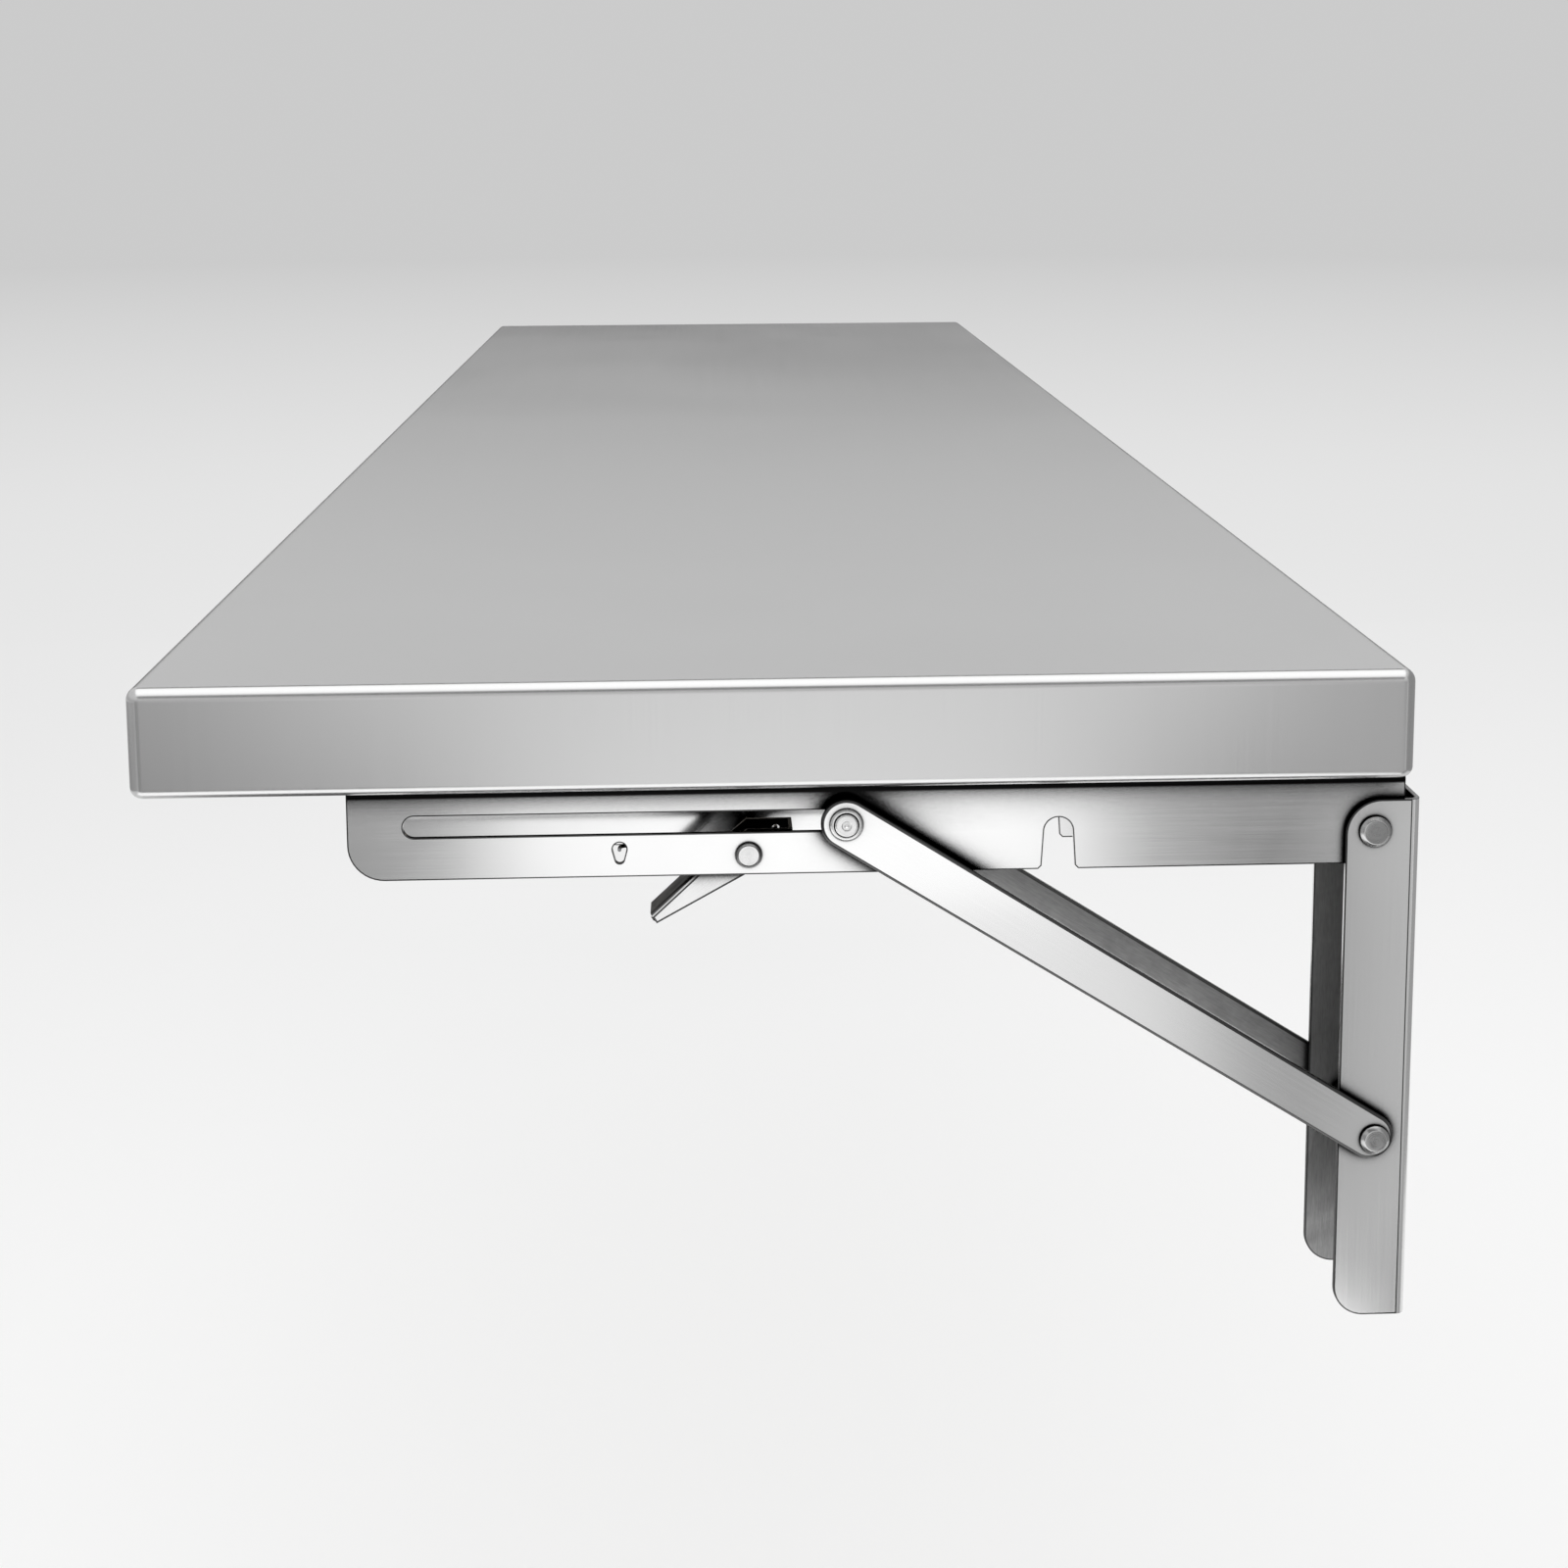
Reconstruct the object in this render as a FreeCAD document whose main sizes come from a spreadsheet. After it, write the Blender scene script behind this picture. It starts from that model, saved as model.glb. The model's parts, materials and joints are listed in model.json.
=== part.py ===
import FreeCAD, Part
import math
import os
import re
import Sketcher

# Wall mounted drop leaf table, in millimetres.
# +X runs along the wall, the wall is the plane Y = 0 with the leaf on its -Y side, +Z is up.
# The origin is the centre of the four wall holes. The right bracket is built at its place,
# and the left one is its mirror image in the plane X = 0.

SIZES = (
    # Leaf
    ("table_length", "1200", "leaf along the wall"),
    ("table_depth", "400", "leaf out from the wall"),
    ("table_thickness", "35", "height of the rims"),
    ("wall_gap", "4.5", "leaf to wall"),
    ("pan_sheet", "1", "sheet of the pan"),
    ("pan_top_bend", "4", "outer radius along the top edges"),
    ("pan_bottom_bend", "3.5", "outer radius along the lower edges"),
    ("pan_corner_spare", "1", "upright corners rounder than the bends"),
    ("return_width", "52", "flange turned in under the rims"),
    ("core_gap", "0.3", "board to the bends of the pan"),
    # Wall channel
    ("bracket_inset", "25", "table end to bracket centre"),
    ("wall_width", "35", "outside width of the wall channel"),
    ("wall_depth", "24", "wall to the front of its flanges"),
    ("wall_height", "174", "height of the wall channel"),
    ("wall_sheet", "1.5", "sheet of the wall channel"),
    ("wall_bend", "3", "outer bend radius of the wall channel"),
    ("wall_top_corner", "11.4", "front corner at the top"),
    ("wall_bottom_corner", "10", "front corner at the bottom"),
    ("wall_top_drop", "8.6", "underside of the leaf to the channel's top"),
    ("fixing_hole", "6.5", "diameter of the wall holes"),
    ("fixing_top_edge", "41.7", "channel top to the upper hole"),
    ("fixing_bottom_edge", "32.3", "channel bottom to the lower hole"),
    # Pivots
    ("hinge_out", "14.8", "wall to the hinge"),
    ("pivot_out", "12.9", "wall to the strut pivot"),
    ("hinge_down", "18.8", "underside of the leaf to the hinge"),
    ("pivot_drop", "101.9", "hinge down to the strut pivot"),
    ("hinge_pin", "6", "shank of the hinge pin"),
    ("hinge_head", "10.1", "head of the hinge pin"),
    ("pivot_pin", "6", "shank of the strut pivot pin"),
    ("pivot_head", "9.4", "head of the strut pivot pin"),
    ("head_thick", "1.8", "height of the pivot heads"),
    ("head_bevel", "1.3", "broad bevel of the pivot heads"),
    ("head_chamfer", "0.5", "edge break of the other heads"),
    ("running_gap", "0.05", "pin to hole, all round"),
    # Arm channel
    ("nest_gap", "0.4", "arm to wall channel, each side"),
    ("arm_height", "30", "height of the arm's flanges"),
    ("arm_sheet", "1.5", "sheet of the arm"),
    ("arm_bend", "2.5", "outer bend radius of the arm"),
    ("arm_rear", "10", "hinge to the rear end of the arm"),
    ("arm_rear_corner", "10", "lower rear corner of the arm"),
    ("arm_front_corner", "11.5", "lower front corner of the arm"),
    ("arm_front_margin", "20.9", "slot end to the front of the arm"),
    ("slot_down", "12.8", "underside of the leaf to the slot"),
    ("slot_width", "7", "width of the slot"),
    ("slot_spare", "0.4", "slot past the folded place of its pin"),
    ("notch_width", "9.2", "notch that clears the strut pivot"),
    ("notch_depth", "16.9", "notch above the arm's lower edge"),
    ("notch_taper", "0.7", "each side of the notch, wider at its mouth"),
    ("notch_flare", "1.1", "eased mouth of the notch"),
    ("notch_ahead", "1.1", "folded place of the pivot to the middle of the notch"),
    # Strut
    ("pin_reach", "168.4", "hinge to the slide pin with the leaf up"),
    ("bar_thick", "2.2", "strut bar"),
    ("bar_gap", "0.4", "bar to the wall channel"),
    ("bar_eye", "8", "radius of the bar's upper end"),
    ("bar_foot", "7.5", "radius of the bar's lower end"),
    ("bar_setback", "1.6", "pivot to the middle of the bar's lower end"),
    ("head_gap", "0.1", "pivot head to the bar"),
    ("slide_pin", "6", "slide pin"),
    ("slide_end_gap", "0.2", "slide pin to the bars"),
    ("washer_size", "11", "spacer washer"),
    ("washer_gap", "0.2", "spacer washer to its neighbours"),
    ("eye_shank", "6", "shank of the eye rivet"),
    ("eye_ring", "10.2", "outer ring of the eye rivet"),
    ("eye_ring_thick", "0.9", "height of that ring"),
    ("eye_button", "7.3", "raised button of the eye rivet"),
    ("eye_button_thick", "0.8", "height of that button"),
    # Latch
    ("latch_reach", "199", "hinge to the latch pin"),
    ("latch_down", "23.5", "underside of the leaf to the latch pin"),
    ("latch_pin", "5", "shank of the latch pin"),
    ("latch_head", "8.1", "head of the latch pin"),
    ("latch_head_thick", "1.3", "height of that head"),
    ("lever_width", "11.5", "outside width of the lever"),
    ("lever_sheet", "1.2", "sheet of the lever"),
    ("lever_gap", "1", "lever to the arm's outer flange"),
    ("nose_gap", "0.4", "lever nose under the slide pin's path"),
    ("nose_reach", "14", "latch pin to the nose, towards the hinge"),
    ("nose_drop", "7", "height of the nose"),
    ("shoulder_reach", "0.5", "latch pin to the end of the lever's top"),
    ("paddle_start", "16", "latch pin to the start of the paddle"),
    ("paddle_start_drop", "5.6", "start of the paddle under the pin"),
    ("paddle_end", "31.3", "latch pin to the outer edge of the paddle"),
    ("paddle_end_drop", "19.9", "outer edge of the paddle under the pin"),
    ("tip_reach", "29.3", "latch pin to the lower tip"),
    ("tip_drop", "23", "lower tip under the pin"),
    ("heel_reach", "2.5", "latch pin to the heel, towards the hinge"),
    ("heel_drop", "5.4", "heel under the pin"),
    # Latch spring
    ("spring_wire", "1.2", "wire of the latch spring"),
    ("spring_radius", "4.2", "coil at the middle of the wire"),
    ("spring_pitch", "1.5", "turn to turn"),
    ("spring_bend", "1.6", "bend of the spring's ends"),
    ("spring_ends", "0.6", "wire past the sheet that holds it"),
    ("anchor_reach", "40.6", "latch pin to the anchor hole"),
    ("anchor_rise", "2.45", "latch pin up to the anchor hole"),
    ("anchor_low", "1.3", "lower radius of the anchor hole"),
    ("anchor_high", "2.15", "upper radius of the anchor hole"),
    ("anchor_length", "3.3", "between those two radii"),
    ("hook_reach", "9", "latch pin to the spring's hole in the lever"),
    ("hook_hole", "2.4", "diameter of that hole"),
    # Arm screws
    ("screw_shank", "4", "screw into the board"),
    ("screw_length", "18", "under its head"),
    ("screw_point", "3", "taper of its point"),
    ("screw_head", "8", "screw head"),
    ("screw_head_thick", "2.4", "height of that head"),
    ("screw_rear", "40", "hinge to the first screw"),
    ("screw_front", "12", "front of the arm to the last screw"),
    # Cuts
    ("overrun", "2", "cuts run past the sheet by this"),
)

# Places that follow from the sizes above.
WORKED = (
    ("bracket_x", "table_length / 2 - bracket_inset"),
    ("fixing_span", "wall_height - fixing_top_edge - fixing_bottom_edge"),
    ("channel_top_z", "fixing_top_edge + fixing_span / 2"),
    ("channel_low_z", "channel_top_z - wall_height"),
    ("under_z", "channel_top_z + wall_top_drop"),
    ("hinge_z", "under_z - hinge_down"),
    ("pivot_z", "hinge_z - pivot_drop"),
    ("slot_z", "under_z - slot_down"),
    ("slot_rise", "hinge_down - slot_down"),
    ("pivot_back", "hinge_out - pivot_out"),
    ("strut_run", "pin_reach + pivot_back"),
    ("strut_rise", "pivot_drop + slot_rise"),
    ("strut_length", "sqrt(strut_run ^ 2 + strut_rise ^ 2)"),
    ("strut_cos", "strut_run / strut_length"),
    ("strut_sin", "strut_rise / strut_length"),
    ("folded_reach", "pivot_drop + sqrt(strut_length ^ 2 - (slot_rise + pivot_back) ^ 2)"),
    ("slot_end", "folded_reach + slot_spare"),
    ("arm_front", "slot_end + arm_front_margin"),
    ("arm_width", "wall_width - 2 * wall_sheet - 2 * nest_gap"),
    ("arm_inner", "arm_width - 2 * arm_sheet"),
    ("arm_low_z", "under_z - arm_height"),
    ("bar_face", "wall_width / 2 + bar_gap"),
    ("latch_y", "-hinge_out - latch_reach"),
    ("latch_z", "under_z - latch_down"),
    ("nose_rise", "latch_down - slot_down - slide_pin / 2 - nose_gap"),
    ("lever_inner", "lever_width - 2 * lever_sheet"),
    ("lever_aside", "arm_inner / 2 - lever_gap - lever_width / 2"),
    ("paddle_slope", "(paddle_end_drop - paddle_start_drop) / (paddle_end - paddle_start)"),
    ("paddle_web", "lever_sheet * sqrt(1 + paddle_slope ^ 2)"),
    ("screw_step", "(arm_front - screw_front - screw_rear) / 2"),
    ("pan_corner", "max(pan_top_bend; pan_bottom_bend) + pan_corner_spare"),
    ("core_inset", "pan_corner + core_gap"),
)

SCREW_COUNT = 3
SPRING_TURNS = 4
X_AXIS = FreeCAD.Vector(1, 0, 0)
LEFT_TURN = 1
RIGHT_TURN = -1
OUTWARDS = "One side"
EDGE_SAMPLES = 3
EDGE_TOLERANCE_SHARE = 1e-6

doc = FreeCAD.newDocument("DropLeafTable")
sizes = doc.addObject("Spreadsheet::Sheet", "Sizes")
worked = doc.addObject("Spreadsheet::Sheet", "Worked")
homes = {}
nodes = {}


def tied(formula, home=None):
    """The formula with its sheet's name put before every alias of another sheet."""

    def with_sheet(match):
        word = match.group(0)
        sheet = homes.get(word, home)
        return word if sheet is home else f"{sheet.Name}.{word}"

    return re.sub(r"[a-z][a-z_0-9]*", with_sheet, formula)


def value(formula):
    """What a formula comes to now, in millimetres."""
    return float(sizes.evalExpression(tied(formula)))


def fill_sheets():
    """Enter the driving sizes, then the places that follow from them."""
    for row, (alias, number, note) in enumerate(SIZES, start=1):
        sizes.set(f"A{row}", note)
        sizes.set(f"B{row}", number)
        sizes.setAlias(f"B{row}", alias)
        homes[alias] = sizes
    for row, (alias, formula) in enumerate(WORKED, start=1):
        worked.set(f"A{row}", "=" + tied(formula, worked))
        worked.setAlias(f"A{row}", alias)
        homes[alias] = worked
        doc.recompute()


def bind(thing, **formulas):
    """Tie properties to the sheets; a double underscore stands for a dot in a property's path."""
    for path, formula in formulas.items():
        thing.setExpression(path.replace("__", "."), tied(formula))


def place(thing, x="0", y="0", z="0"):
    """Tie a sub-part's place to the sheets."""
    bind(thing, Placement__Base__x=x, Placement__Base__y=y, Placement__Base__z=z)


def new_body(name, x="0", y="0", z="0"):
    """A body at a place tied to the sheets."""
    body = doc.addObject("PartDesign::Body", name)
    place(body, x, y, z)
    return body


def new_sketch(body, name, plane):
    """An empty sketch on one of the body's own origin planes."""
    sketch = body.newObject("Sketcher::SketchObject", name)
    support = next(face for face in body.Origin.OriginFeatures if face.Role == plane)
    sketch.AttachmentSupport = (support, "")
    sketch.MapMode = "FlatFace"
    return sketch


def fix_point(sketch, geometry, end, across, up):
    """Tie a point of the sketch to its two formulas."""
    for kind, formula, axis in (("DistanceX", across, -2), ("DistanceY", up, -1)):
        if formula == "0":
            sketch.addConstraint(Sketcher.Constraint("PointOnObject", geometry, end, axis))
            continue
        number = sketch.addConstraint(
            Sketcher.Constraint(kind, -1, 1, geometry, end, value(formula)))
        sketch.setExpression(f"Constraints[{number}]", tied(formula))


def arc_between(start, end, radius, turn):
    """The arc under half a turn from start to end that bends to the left or the right."""
    chord = end - start
    side = FreeCAD.Vector(-chord.y, chord.x, 0).normalize() * turn
    rise = math.sqrt(max(radius ** 2 - (chord.Length / 2) ** 2, 0))
    centre = (start + end) / 2 + side * rise
    first, last = (start, end) if turn == LEFT_TURN else (end, start)
    angles = [math.atan2(point.y - centre.y, point.x - centre.x) for point in (first, last)]
    return Part.ArcOfCircle(Part.Circle(centre, FreeCAD.Vector(0, 0, 1), radius), *angles)


def outline(body, name, plane, corners, arcs=None, turn=LEFT_TURN):
    """A closed sketch through corners given as formulas.

    arcs gives the radius of each side that is round, by the number of the corner it starts at.
    """
    arcs = arcs or {}
    sketch = new_sketch(body, name, plane)
    places = [FreeCAD.Vector(value(across), value(up), 0) for across, up in corners]
    ends = []
    for number, start in enumerate(places):
        finish = places[(number + 1) % len(places)]
        if number in arcs:
            geometry = sketch.addGeometry(arc_between(start, finish, value(arcs[number]), turn))
            ends.append((geometry, 1, 2) if turn == LEFT_TURN else (geometry, 2, 1))
        else:
            geometry = sketch.addGeometry(Part.LineSegment(start, finish))
            ends.append((geometry, 1, 2))
    for number, (geometry, start, finish) in enumerate(ends):
        following = ends[(number + 1) % len(ends)]
        sketch.addConstraint(
            Sketcher.Constraint("Coincident", geometry, finish, following[0], following[1]))
        fix_point(sketch, geometry, start, *corners[number])
        if number in arcs:
            radius = sketch.addConstraint(
                Sketcher.Constraint("Radius", geometry, value(arcs[number])))
            sketch.setExpression(f"Constraints[{radius}]", tied(arcs[number]))
    return sketch


def rounds(body, name, plane, circles):
    """A sketch of circles, each given as across, up and radius formulas."""
    sketch = new_sketch(body, name, plane)
    for across, up, radius in circles:
        centre = FreeCAD.Vector(value(across), value(up), 0)
        circle = Part.Circle(centre, FreeCAD.Vector(0, 0, 1), value(radius))
        geometry = sketch.addGeometry(circle)
        fix_point(sketch, geometry, 3, across, up)
        number = sketch.addConstraint(Sketcher.Constraint("Radius", geometry, value(radius)))
        sketch.setExpression(f"Constraints[{number}]", tied(radius))
    return sketch


def capsule(body, name, foot, reach, foot_radius, tip_radius, cosine="1", sine="0"):
    """The outline round two circles: a foot, and a tip at some reach towards -Y and up."""
    lean = f"(({tip_radius} - {foot_radius}) / ({reach}))"
    upright = f"sqrt(1 - {lean} ^ 2)"

    def at(along, aside):
        return (f"{foot[0]} - ({along}) * {cosine} + ({aside}) * {sine}",
                f"{foot[1]} + ({along}) * {sine} + ({aside}) * {cosine}")

    corners = [
        at(f"-{foot_radius} * {lean}", f"-{foot_radius} * {upright}"),
        at(f"{reach} - {tip_radius} * {lean}", f"-{tip_radius} * {upright}"),
        at(f"{reach} + {tip_radius}", "0"),
        at(f"{reach} - {tip_radius} * {lean}", f"{tip_radius} * {upright}"),
        at(f"-{foot_radius} * {lean}", f"{foot_radius} * {upright}"),
        at(f"-{foot_radius}", "0"),
    ]
    arcs = {1: tip_radius, 2: tip_radius, 4: foot_radius, 5: foot_radius}
    return outline(body, name, "YZ_Plane", corners, arcs, RIGHT_TURN)


def pad(body, sketch, width):
    """Thicken a sketch evenly to both sides."""
    feature = body.newObject("PartDesign::Pad", "Pad")
    feature.Profile = sketch
    feature.SideType = "Symmetric"
    bind(feature, Length=width)
    doc.recompute()
    return feature


def pocket(body, sketch, width, way="Symmetric"):
    """Cut a sketch evenly to both sides or outwards only, and make sure that it cut something."""
    before = body.Shape.Volume
    feature = body.newObject("PartDesign::Pocket", "Pocket")
    feature.Profile = sketch
    feature.SideType = way
    feature.Reversed = way == OUTWARDS
    bind(feature, Length=width)
    doc.recompute()
    if not body.Shape.Volume < before:
        raise RuntimeError(f"{sketch.Label} cut nothing from {body.Label}")
    return feature


def turned(body, sketch, axis):
    """Turn a half section into a round piece about one of its sketch's axes."""
    feature = body.newObject("PartDesign::Revolution", "Turned")
    feature.Profile = sketch
    feature.ReferenceAxis = (sketch, [axis])
    doc.recompute()
    return feature


def edges_where(feature, wheres):
    """Names of the edges whose points all keep to one of the given sets of coordinates."""
    tight = feature.Shape.BoundBox.DiagonalLength * EDGE_TOLERANCE_SHARE
    names = []
    for number, edge in enumerate(feature.Shape.Edges, start=1):
        points = edge.discretize(EDGE_SAMPLES)
        for where in wheres:
            gaps = [abs(getattr(point, axis) - value(formula))
                    for axis, formula in where.items() for point in points]
            if max(gaps) < tight:
                names.append(f"Edge{number}")
    return names


def round_edges(body, feature, radius, *wheres):
    """Round the edges that keep to one of the given sets of coordinates."""
    fillet = body.newObject("PartDesign::Fillet", "Round")
    fillet.Base = (feature, edges_where(feature, wheres))
    bind(fillet, Radius=radius)
    doc.recompute()
    return fillet


def both_sides(x, **others):
    """The same coordinates on both sides of the middle plane, as a pair."""
    return [dict(x=x, **others), dict(x=f"-({x})", **others)]


def boolean(kind, name, base, tool):
    """A Part::Cut or a Part::Fuse of two objects."""
    result = doc.addObject(f"Part::{kind}", name)
    result.Base = base
    result.Tool = tool
    return result


def group(name, pieces):
    """Several separate solids as one sub-part."""
    compound = doc.addObject("Part::Compound", name)
    compound.Links = pieces
    return compound


def across_bracket(name, piece):
    """The same piece on the other side of the right bracket's middle plane."""
    copy = doc.addObject("Part::Mirroring", name)
    copy.Source = piece
    copy.Normal = X_AXIS
    bind(copy, Base__x="bracket_x")
    return copy


def keep(label, piece):
    """Make an object a sub-part under its own name."""
    piece.Label = label
    nodes[label] = piece
    doc.recompute()


def wall_channel():
    """U channel on the wall, with its pin holes and its two fixing holes."""
    body = new_body("WallChannel", x="bracket_x")
    side = outline(body, "WallSide", "YZ_Plane", [
        ("0", "channel_low_z"),
        ("0", "channel_top_z"),
        ("-wall_depth + wall_top_corner", "channel_top_z"),
        ("-wall_depth", "channel_top_z - wall_top_corner"),
        ("-wall_depth", "channel_low_z + wall_bottom_corner"),
        ("-wall_depth + wall_bottom_corner", "channel_low_z"),
    ], {2: "wall_top_corner", 4: "wall_bottom_corner"})
    pad(body, side, "wall_width")
    inside = outline(body, "WallInside", "YZ_Plane", [
        ("-wall_sheet", "channel_low_z - overrun"),
        ("-wall_sheet", "channel_top_z + overrun"),
        ("-wall_depth - overrun", "channel_top_z + overrun"),
        ("-wall_depth - overrun", "channel_low_z - overrun"),
    ])
    pocket(body, inside, "wall_width - 2 * wall_sheet")
    pins = rounds(body, "WallPinHoles", "YZ_Plane", [
        ("-hinge_out", "hinge_z", "hinge_pin / 2 + running_gap"),
        ("-pivot_out", "pivot_z", "pivot_pin / 2 + running_gap"),
    ])
    pocket(body, pins, "wall_width + 2 * overrun")
    holes = rounds(body, "WallFixingHoles", "XZ_Plane", [
        ("0", "fixing_span / 2", "fixing_hole / 2"),
        ("0", "-fixing_span / 2", "fixing_hole / 2"),
    ])
    cut = pocket(body, holes, "2 * wall_sheet + 2 * overrun")
    outer = round_edges(body, cut, "wall_bend", *both_sides("wall_width / 2", y="0"))
    round_edges(body, outer, "wall_bend - wall_sheet",
                *both_sides("wall_width / 2 - wall_sheet", y="-wall_sheet"))
    keep("wall_channel_right", body)


def arm_channel():
    """U channel under the leaf, open downwards, with the slot, the notch and the holes."""
    body = new_body("ArmChannel", x="bracket_x")
    rear = "-hinge_out + arm_rear"
    front = "-hinge_out - arm_front"
    side = outline(body, "ArmSide", "YZ_Plane", [
        (rear, "arm_low_z + arm_rear_corner"),
        (rear, "under_z"),
        (front, "under_z"),
        (front, "arm_low_z + arm_front_corner"),
        (f"{front} + arm_front_corner", "arm_low_z"),
        (f"{rear} - arm_rear_corner", "arm_low_z"),
    ], {3: "arm_front_corner", 5: "arm_rear_corner"})
    pad(body, side, "arm_width")
    inside = outline(body, "ArmInside", "YZ_Plane", [
        (f"{rear} + overrun", "arm_low_z - overrun"),
        (f"{rear} + overrun", "under_z - arm_sheet"),
        (f"{front} - overrun", "under_z - arm_sheet"),
        (f"{front} - overrun", "arm_low_z - overrun"),
    ])
    pocket(body, inside, "arm_inner")
    through = "arm_width + 2 * overrun"
    slot = capsule(body, "ArmSlot", ("-hinge_out - pin_reach", "slot_z"), "(slot_end - pin_reach)",
                   "slot_width / 2", "slot_width / 2")
    pocket(body, slot, through)
    middle = "-hinge_out - pivot_drop + notch_ahead"
    flank = "notch_width / 2 + notch_taper"
    mouth = f"{flank} + notch_flare + overrun"
    notch = outline(body, "ArmNotch", "YZ_Plane", [
        (f"{middle} - ({mouth})", "arm_low_z - overrun"),
        (f"{middle} + {mouth}", "arm_low_z - overrun"),
        (f"{middle} + {flank}", "arm_low_z + notch_flare"),
        (f"{middle} + notch_width / 2", "arm_low_z + notch_depth - notch_width / 2"),
        (middle, "arm_low_z + notch_depth"),
        (f"{middle} - notch_width / 2", "arm_low_z + notch_depth - notch_width / 2"),
        (f"{middle} - ({flank})", "arm_low_z + notch_flare"),
    ], {3: "notch_width / 2", 4: "notch_width / 2"})
    pocket(body, notch, through)
    anchor = capsule(body, "ArmAnchorHole",
                     ("latch_y - anchor_reach", "latch_z + anchor_rise - anchor_length"),
                     "anchor_length", "anchor_low", "anchor_high", cosine="0", sine="1")
    pocket(body, anchor, "arm_width / 2 + overrun", OUTWARDS)
    pins = rounds(body, "ArmPinHoles", "YZ_Plane", [
        ("-hinge_out", "hinge_z", "hinge_pin / 2 + running_gap"),
        ("latch_y", "latch_z", "latch_pin / 2 + running_gap"),
    ])
    pocket(body, pins, through)
    screws = rounds(body, "ArmScrewHoles", "XY_Plane", [
        ("0", screw_y(number), "screw_shank / 2 + running_gap") for number in range(SCREW_COUNT)
    ])
    cut = pocket(body, screws, "2 * under_z + 2 * overrun")
    outer = round_edges(body, cut, "arm_bend", *both_sides("arm_width / 2", z="under_z"))
    round_edges(body, outer, "arm_bend - arm_sheet",
                *both_sides("arm_inner / 2", z="under_z - arm_sheet"))
    keep("arm_channel_right", body)


def screw_y(number):
    """Where an arm screw stands, counted from the hinge."""
    return f"-hinge_out - screw_rear - {number} * screw_step"


def strut_bars():
    """The two flat bars of the strut, one on each side of the bracket."""
    for name, sign in (("outer", "+"), ("inner", "-")):
        body = new_body(f"StrutBar{name.title()}", x=f"bracket_x {sign} (bar_face + bar_thick / 2)")
        foot = ("-pivot_out - bar_setback * strut_cos", "pivot_z + bar_setback * strut_sin")
        bar = capsule(body, "BarSide", foot, "(strut_length - bar_setback)",
                      "bar_foot", "bar_eye", "strut_cos", "strut_sin")
        pad(body, bar, "bar_thick")
        holes = rounds(body, "BarHoles", "YZ_Plane", [
            ("-pivot_out", "pivot_z", "pivot_pin / 2 + running_gap"),
            ("-hinge_out - pin_reach", "slot_z", "eye_shank / 2 + running_gap"),
        ])
        pocket(body, holes, "bar_thick + 2 * overrun")
        keep(f"strut_bar_{name}_right", body)


def spindle(name, y, z, stations):
    """A round piece along X, alike at both ends, from one end's stations of reach and radius."""
    body = new_body(name, "bracket_x", y, z)
    near = [(f"-({reach})", radius) for reach, radius in stations]
    far = [(reach, radius) for reach, radius in reversed(stations)]
    turned(body, outline(body, f"{name}Section", "XY_Plane", near + far), "H_Axis")
    return body


def riveted(name, y, z, half_grip, shank, head, thick, bevel):
    """A rivet with a flat, bevelled head at each end."""
    return spindle(name, y, z, [
        (f"{half_grip} + {thick}", "0"),
        (f"{half_grip} + {thick}", f"{head} / 2 - {bevel}"),
        (f"{half_grip} + {thick} - {bevel}", f"{head} / 2"),
        (half_grip, f"{head} / 2"),
        (half_grip, f"{shank} / 2"),
    ])


def pins():
    """The riveted pins of the bracket, and the plain pin that runs in the slot."""
    keep("hinge_pin_right", riveted("HingePin", "-hinge_out", "hinge_z", "wall_width / 2",
                                    "hinge_pin", "hinge_head", "head_thick", "head_bevel"))
    keep("strut_pivot_pin_right", riveted("StrutPivotPin", "-pivot_out", "pivot_z",
                                          "bar_face + bar_thick + head_gap",
                                          "pivot_pin", "pivot_head", "head_thick", "head_bevel"))
    keep("latch_pin_right", riveted("LatchPin", "latch_y", "latch_z", "arm_width / 2",
                                    "latch_pin", "latch_head", "latch_head_thick", "head_chamfer"))
    keep("slide_pin_right", spindle("SlidePin", "-hinge_out - pin_reach", "slot_z", [
        ("bar_face - slide_end_gap", "0"),
        ("bar_face - slide_end_gap", "slide_pin / 2 - head_chamfer"),
        ("bar_face - slide_end_gap - head_chamfer", "slide_pin / 2"),
    ]))


def eye_pieces():
    """What sits round the slide pin on both sides: spacer washers, and the rivets of the eyes."""
    back = "bar_face + bar_thick"
    ring = f"{back} + eye_ring_thick"
    button = f"{ring} + eye_button_thick"
    sections = {
        "slide_washers_right": [
            ("arm_width / 2 + washer_gap", "slide_pin / 2 + running_gap"),
            ("bar_face - washer_gap", "slide_pin / 2 + running_gap"),
            ("bar_face - washer_gap", "washer_size / 2"),
            ("arm_width / 2 + washer_gap", "washer_size / 2"),
        ],
        "strut_eye_rivets_right": [
            ("bar_face", "0"),
            ("bar_face", "eye_shank / 2"),
            (back, "eye_shank / 2"),
            (back, "eye_ring / 2"),
            (f"{ring} - head_chamfer", "eye_ring / 2"),
            (ring, "eye_ring / 2 - head_chamfer"),
            (ring, "eye_button / 2"),
            (f"{button} - head_chamfer", "eye_button / 2"),
            (button, "eye_button / 2 - head_chamfer"),
            (button, "0"),
        ],
    }
    for label, section in sections.items():
        name = label.title().replace("_", "")
        body = new_body(name, "bracket_x", "-hinge_out - pin_reach", "slot_z")
        turned(body, outline(body, f"{name}Section", "XY_Plane", section), "H_Axis")
        keep(label, group(f"{name}Pair", [body, across_bracket(f"{name}Inner", body)]))


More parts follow.
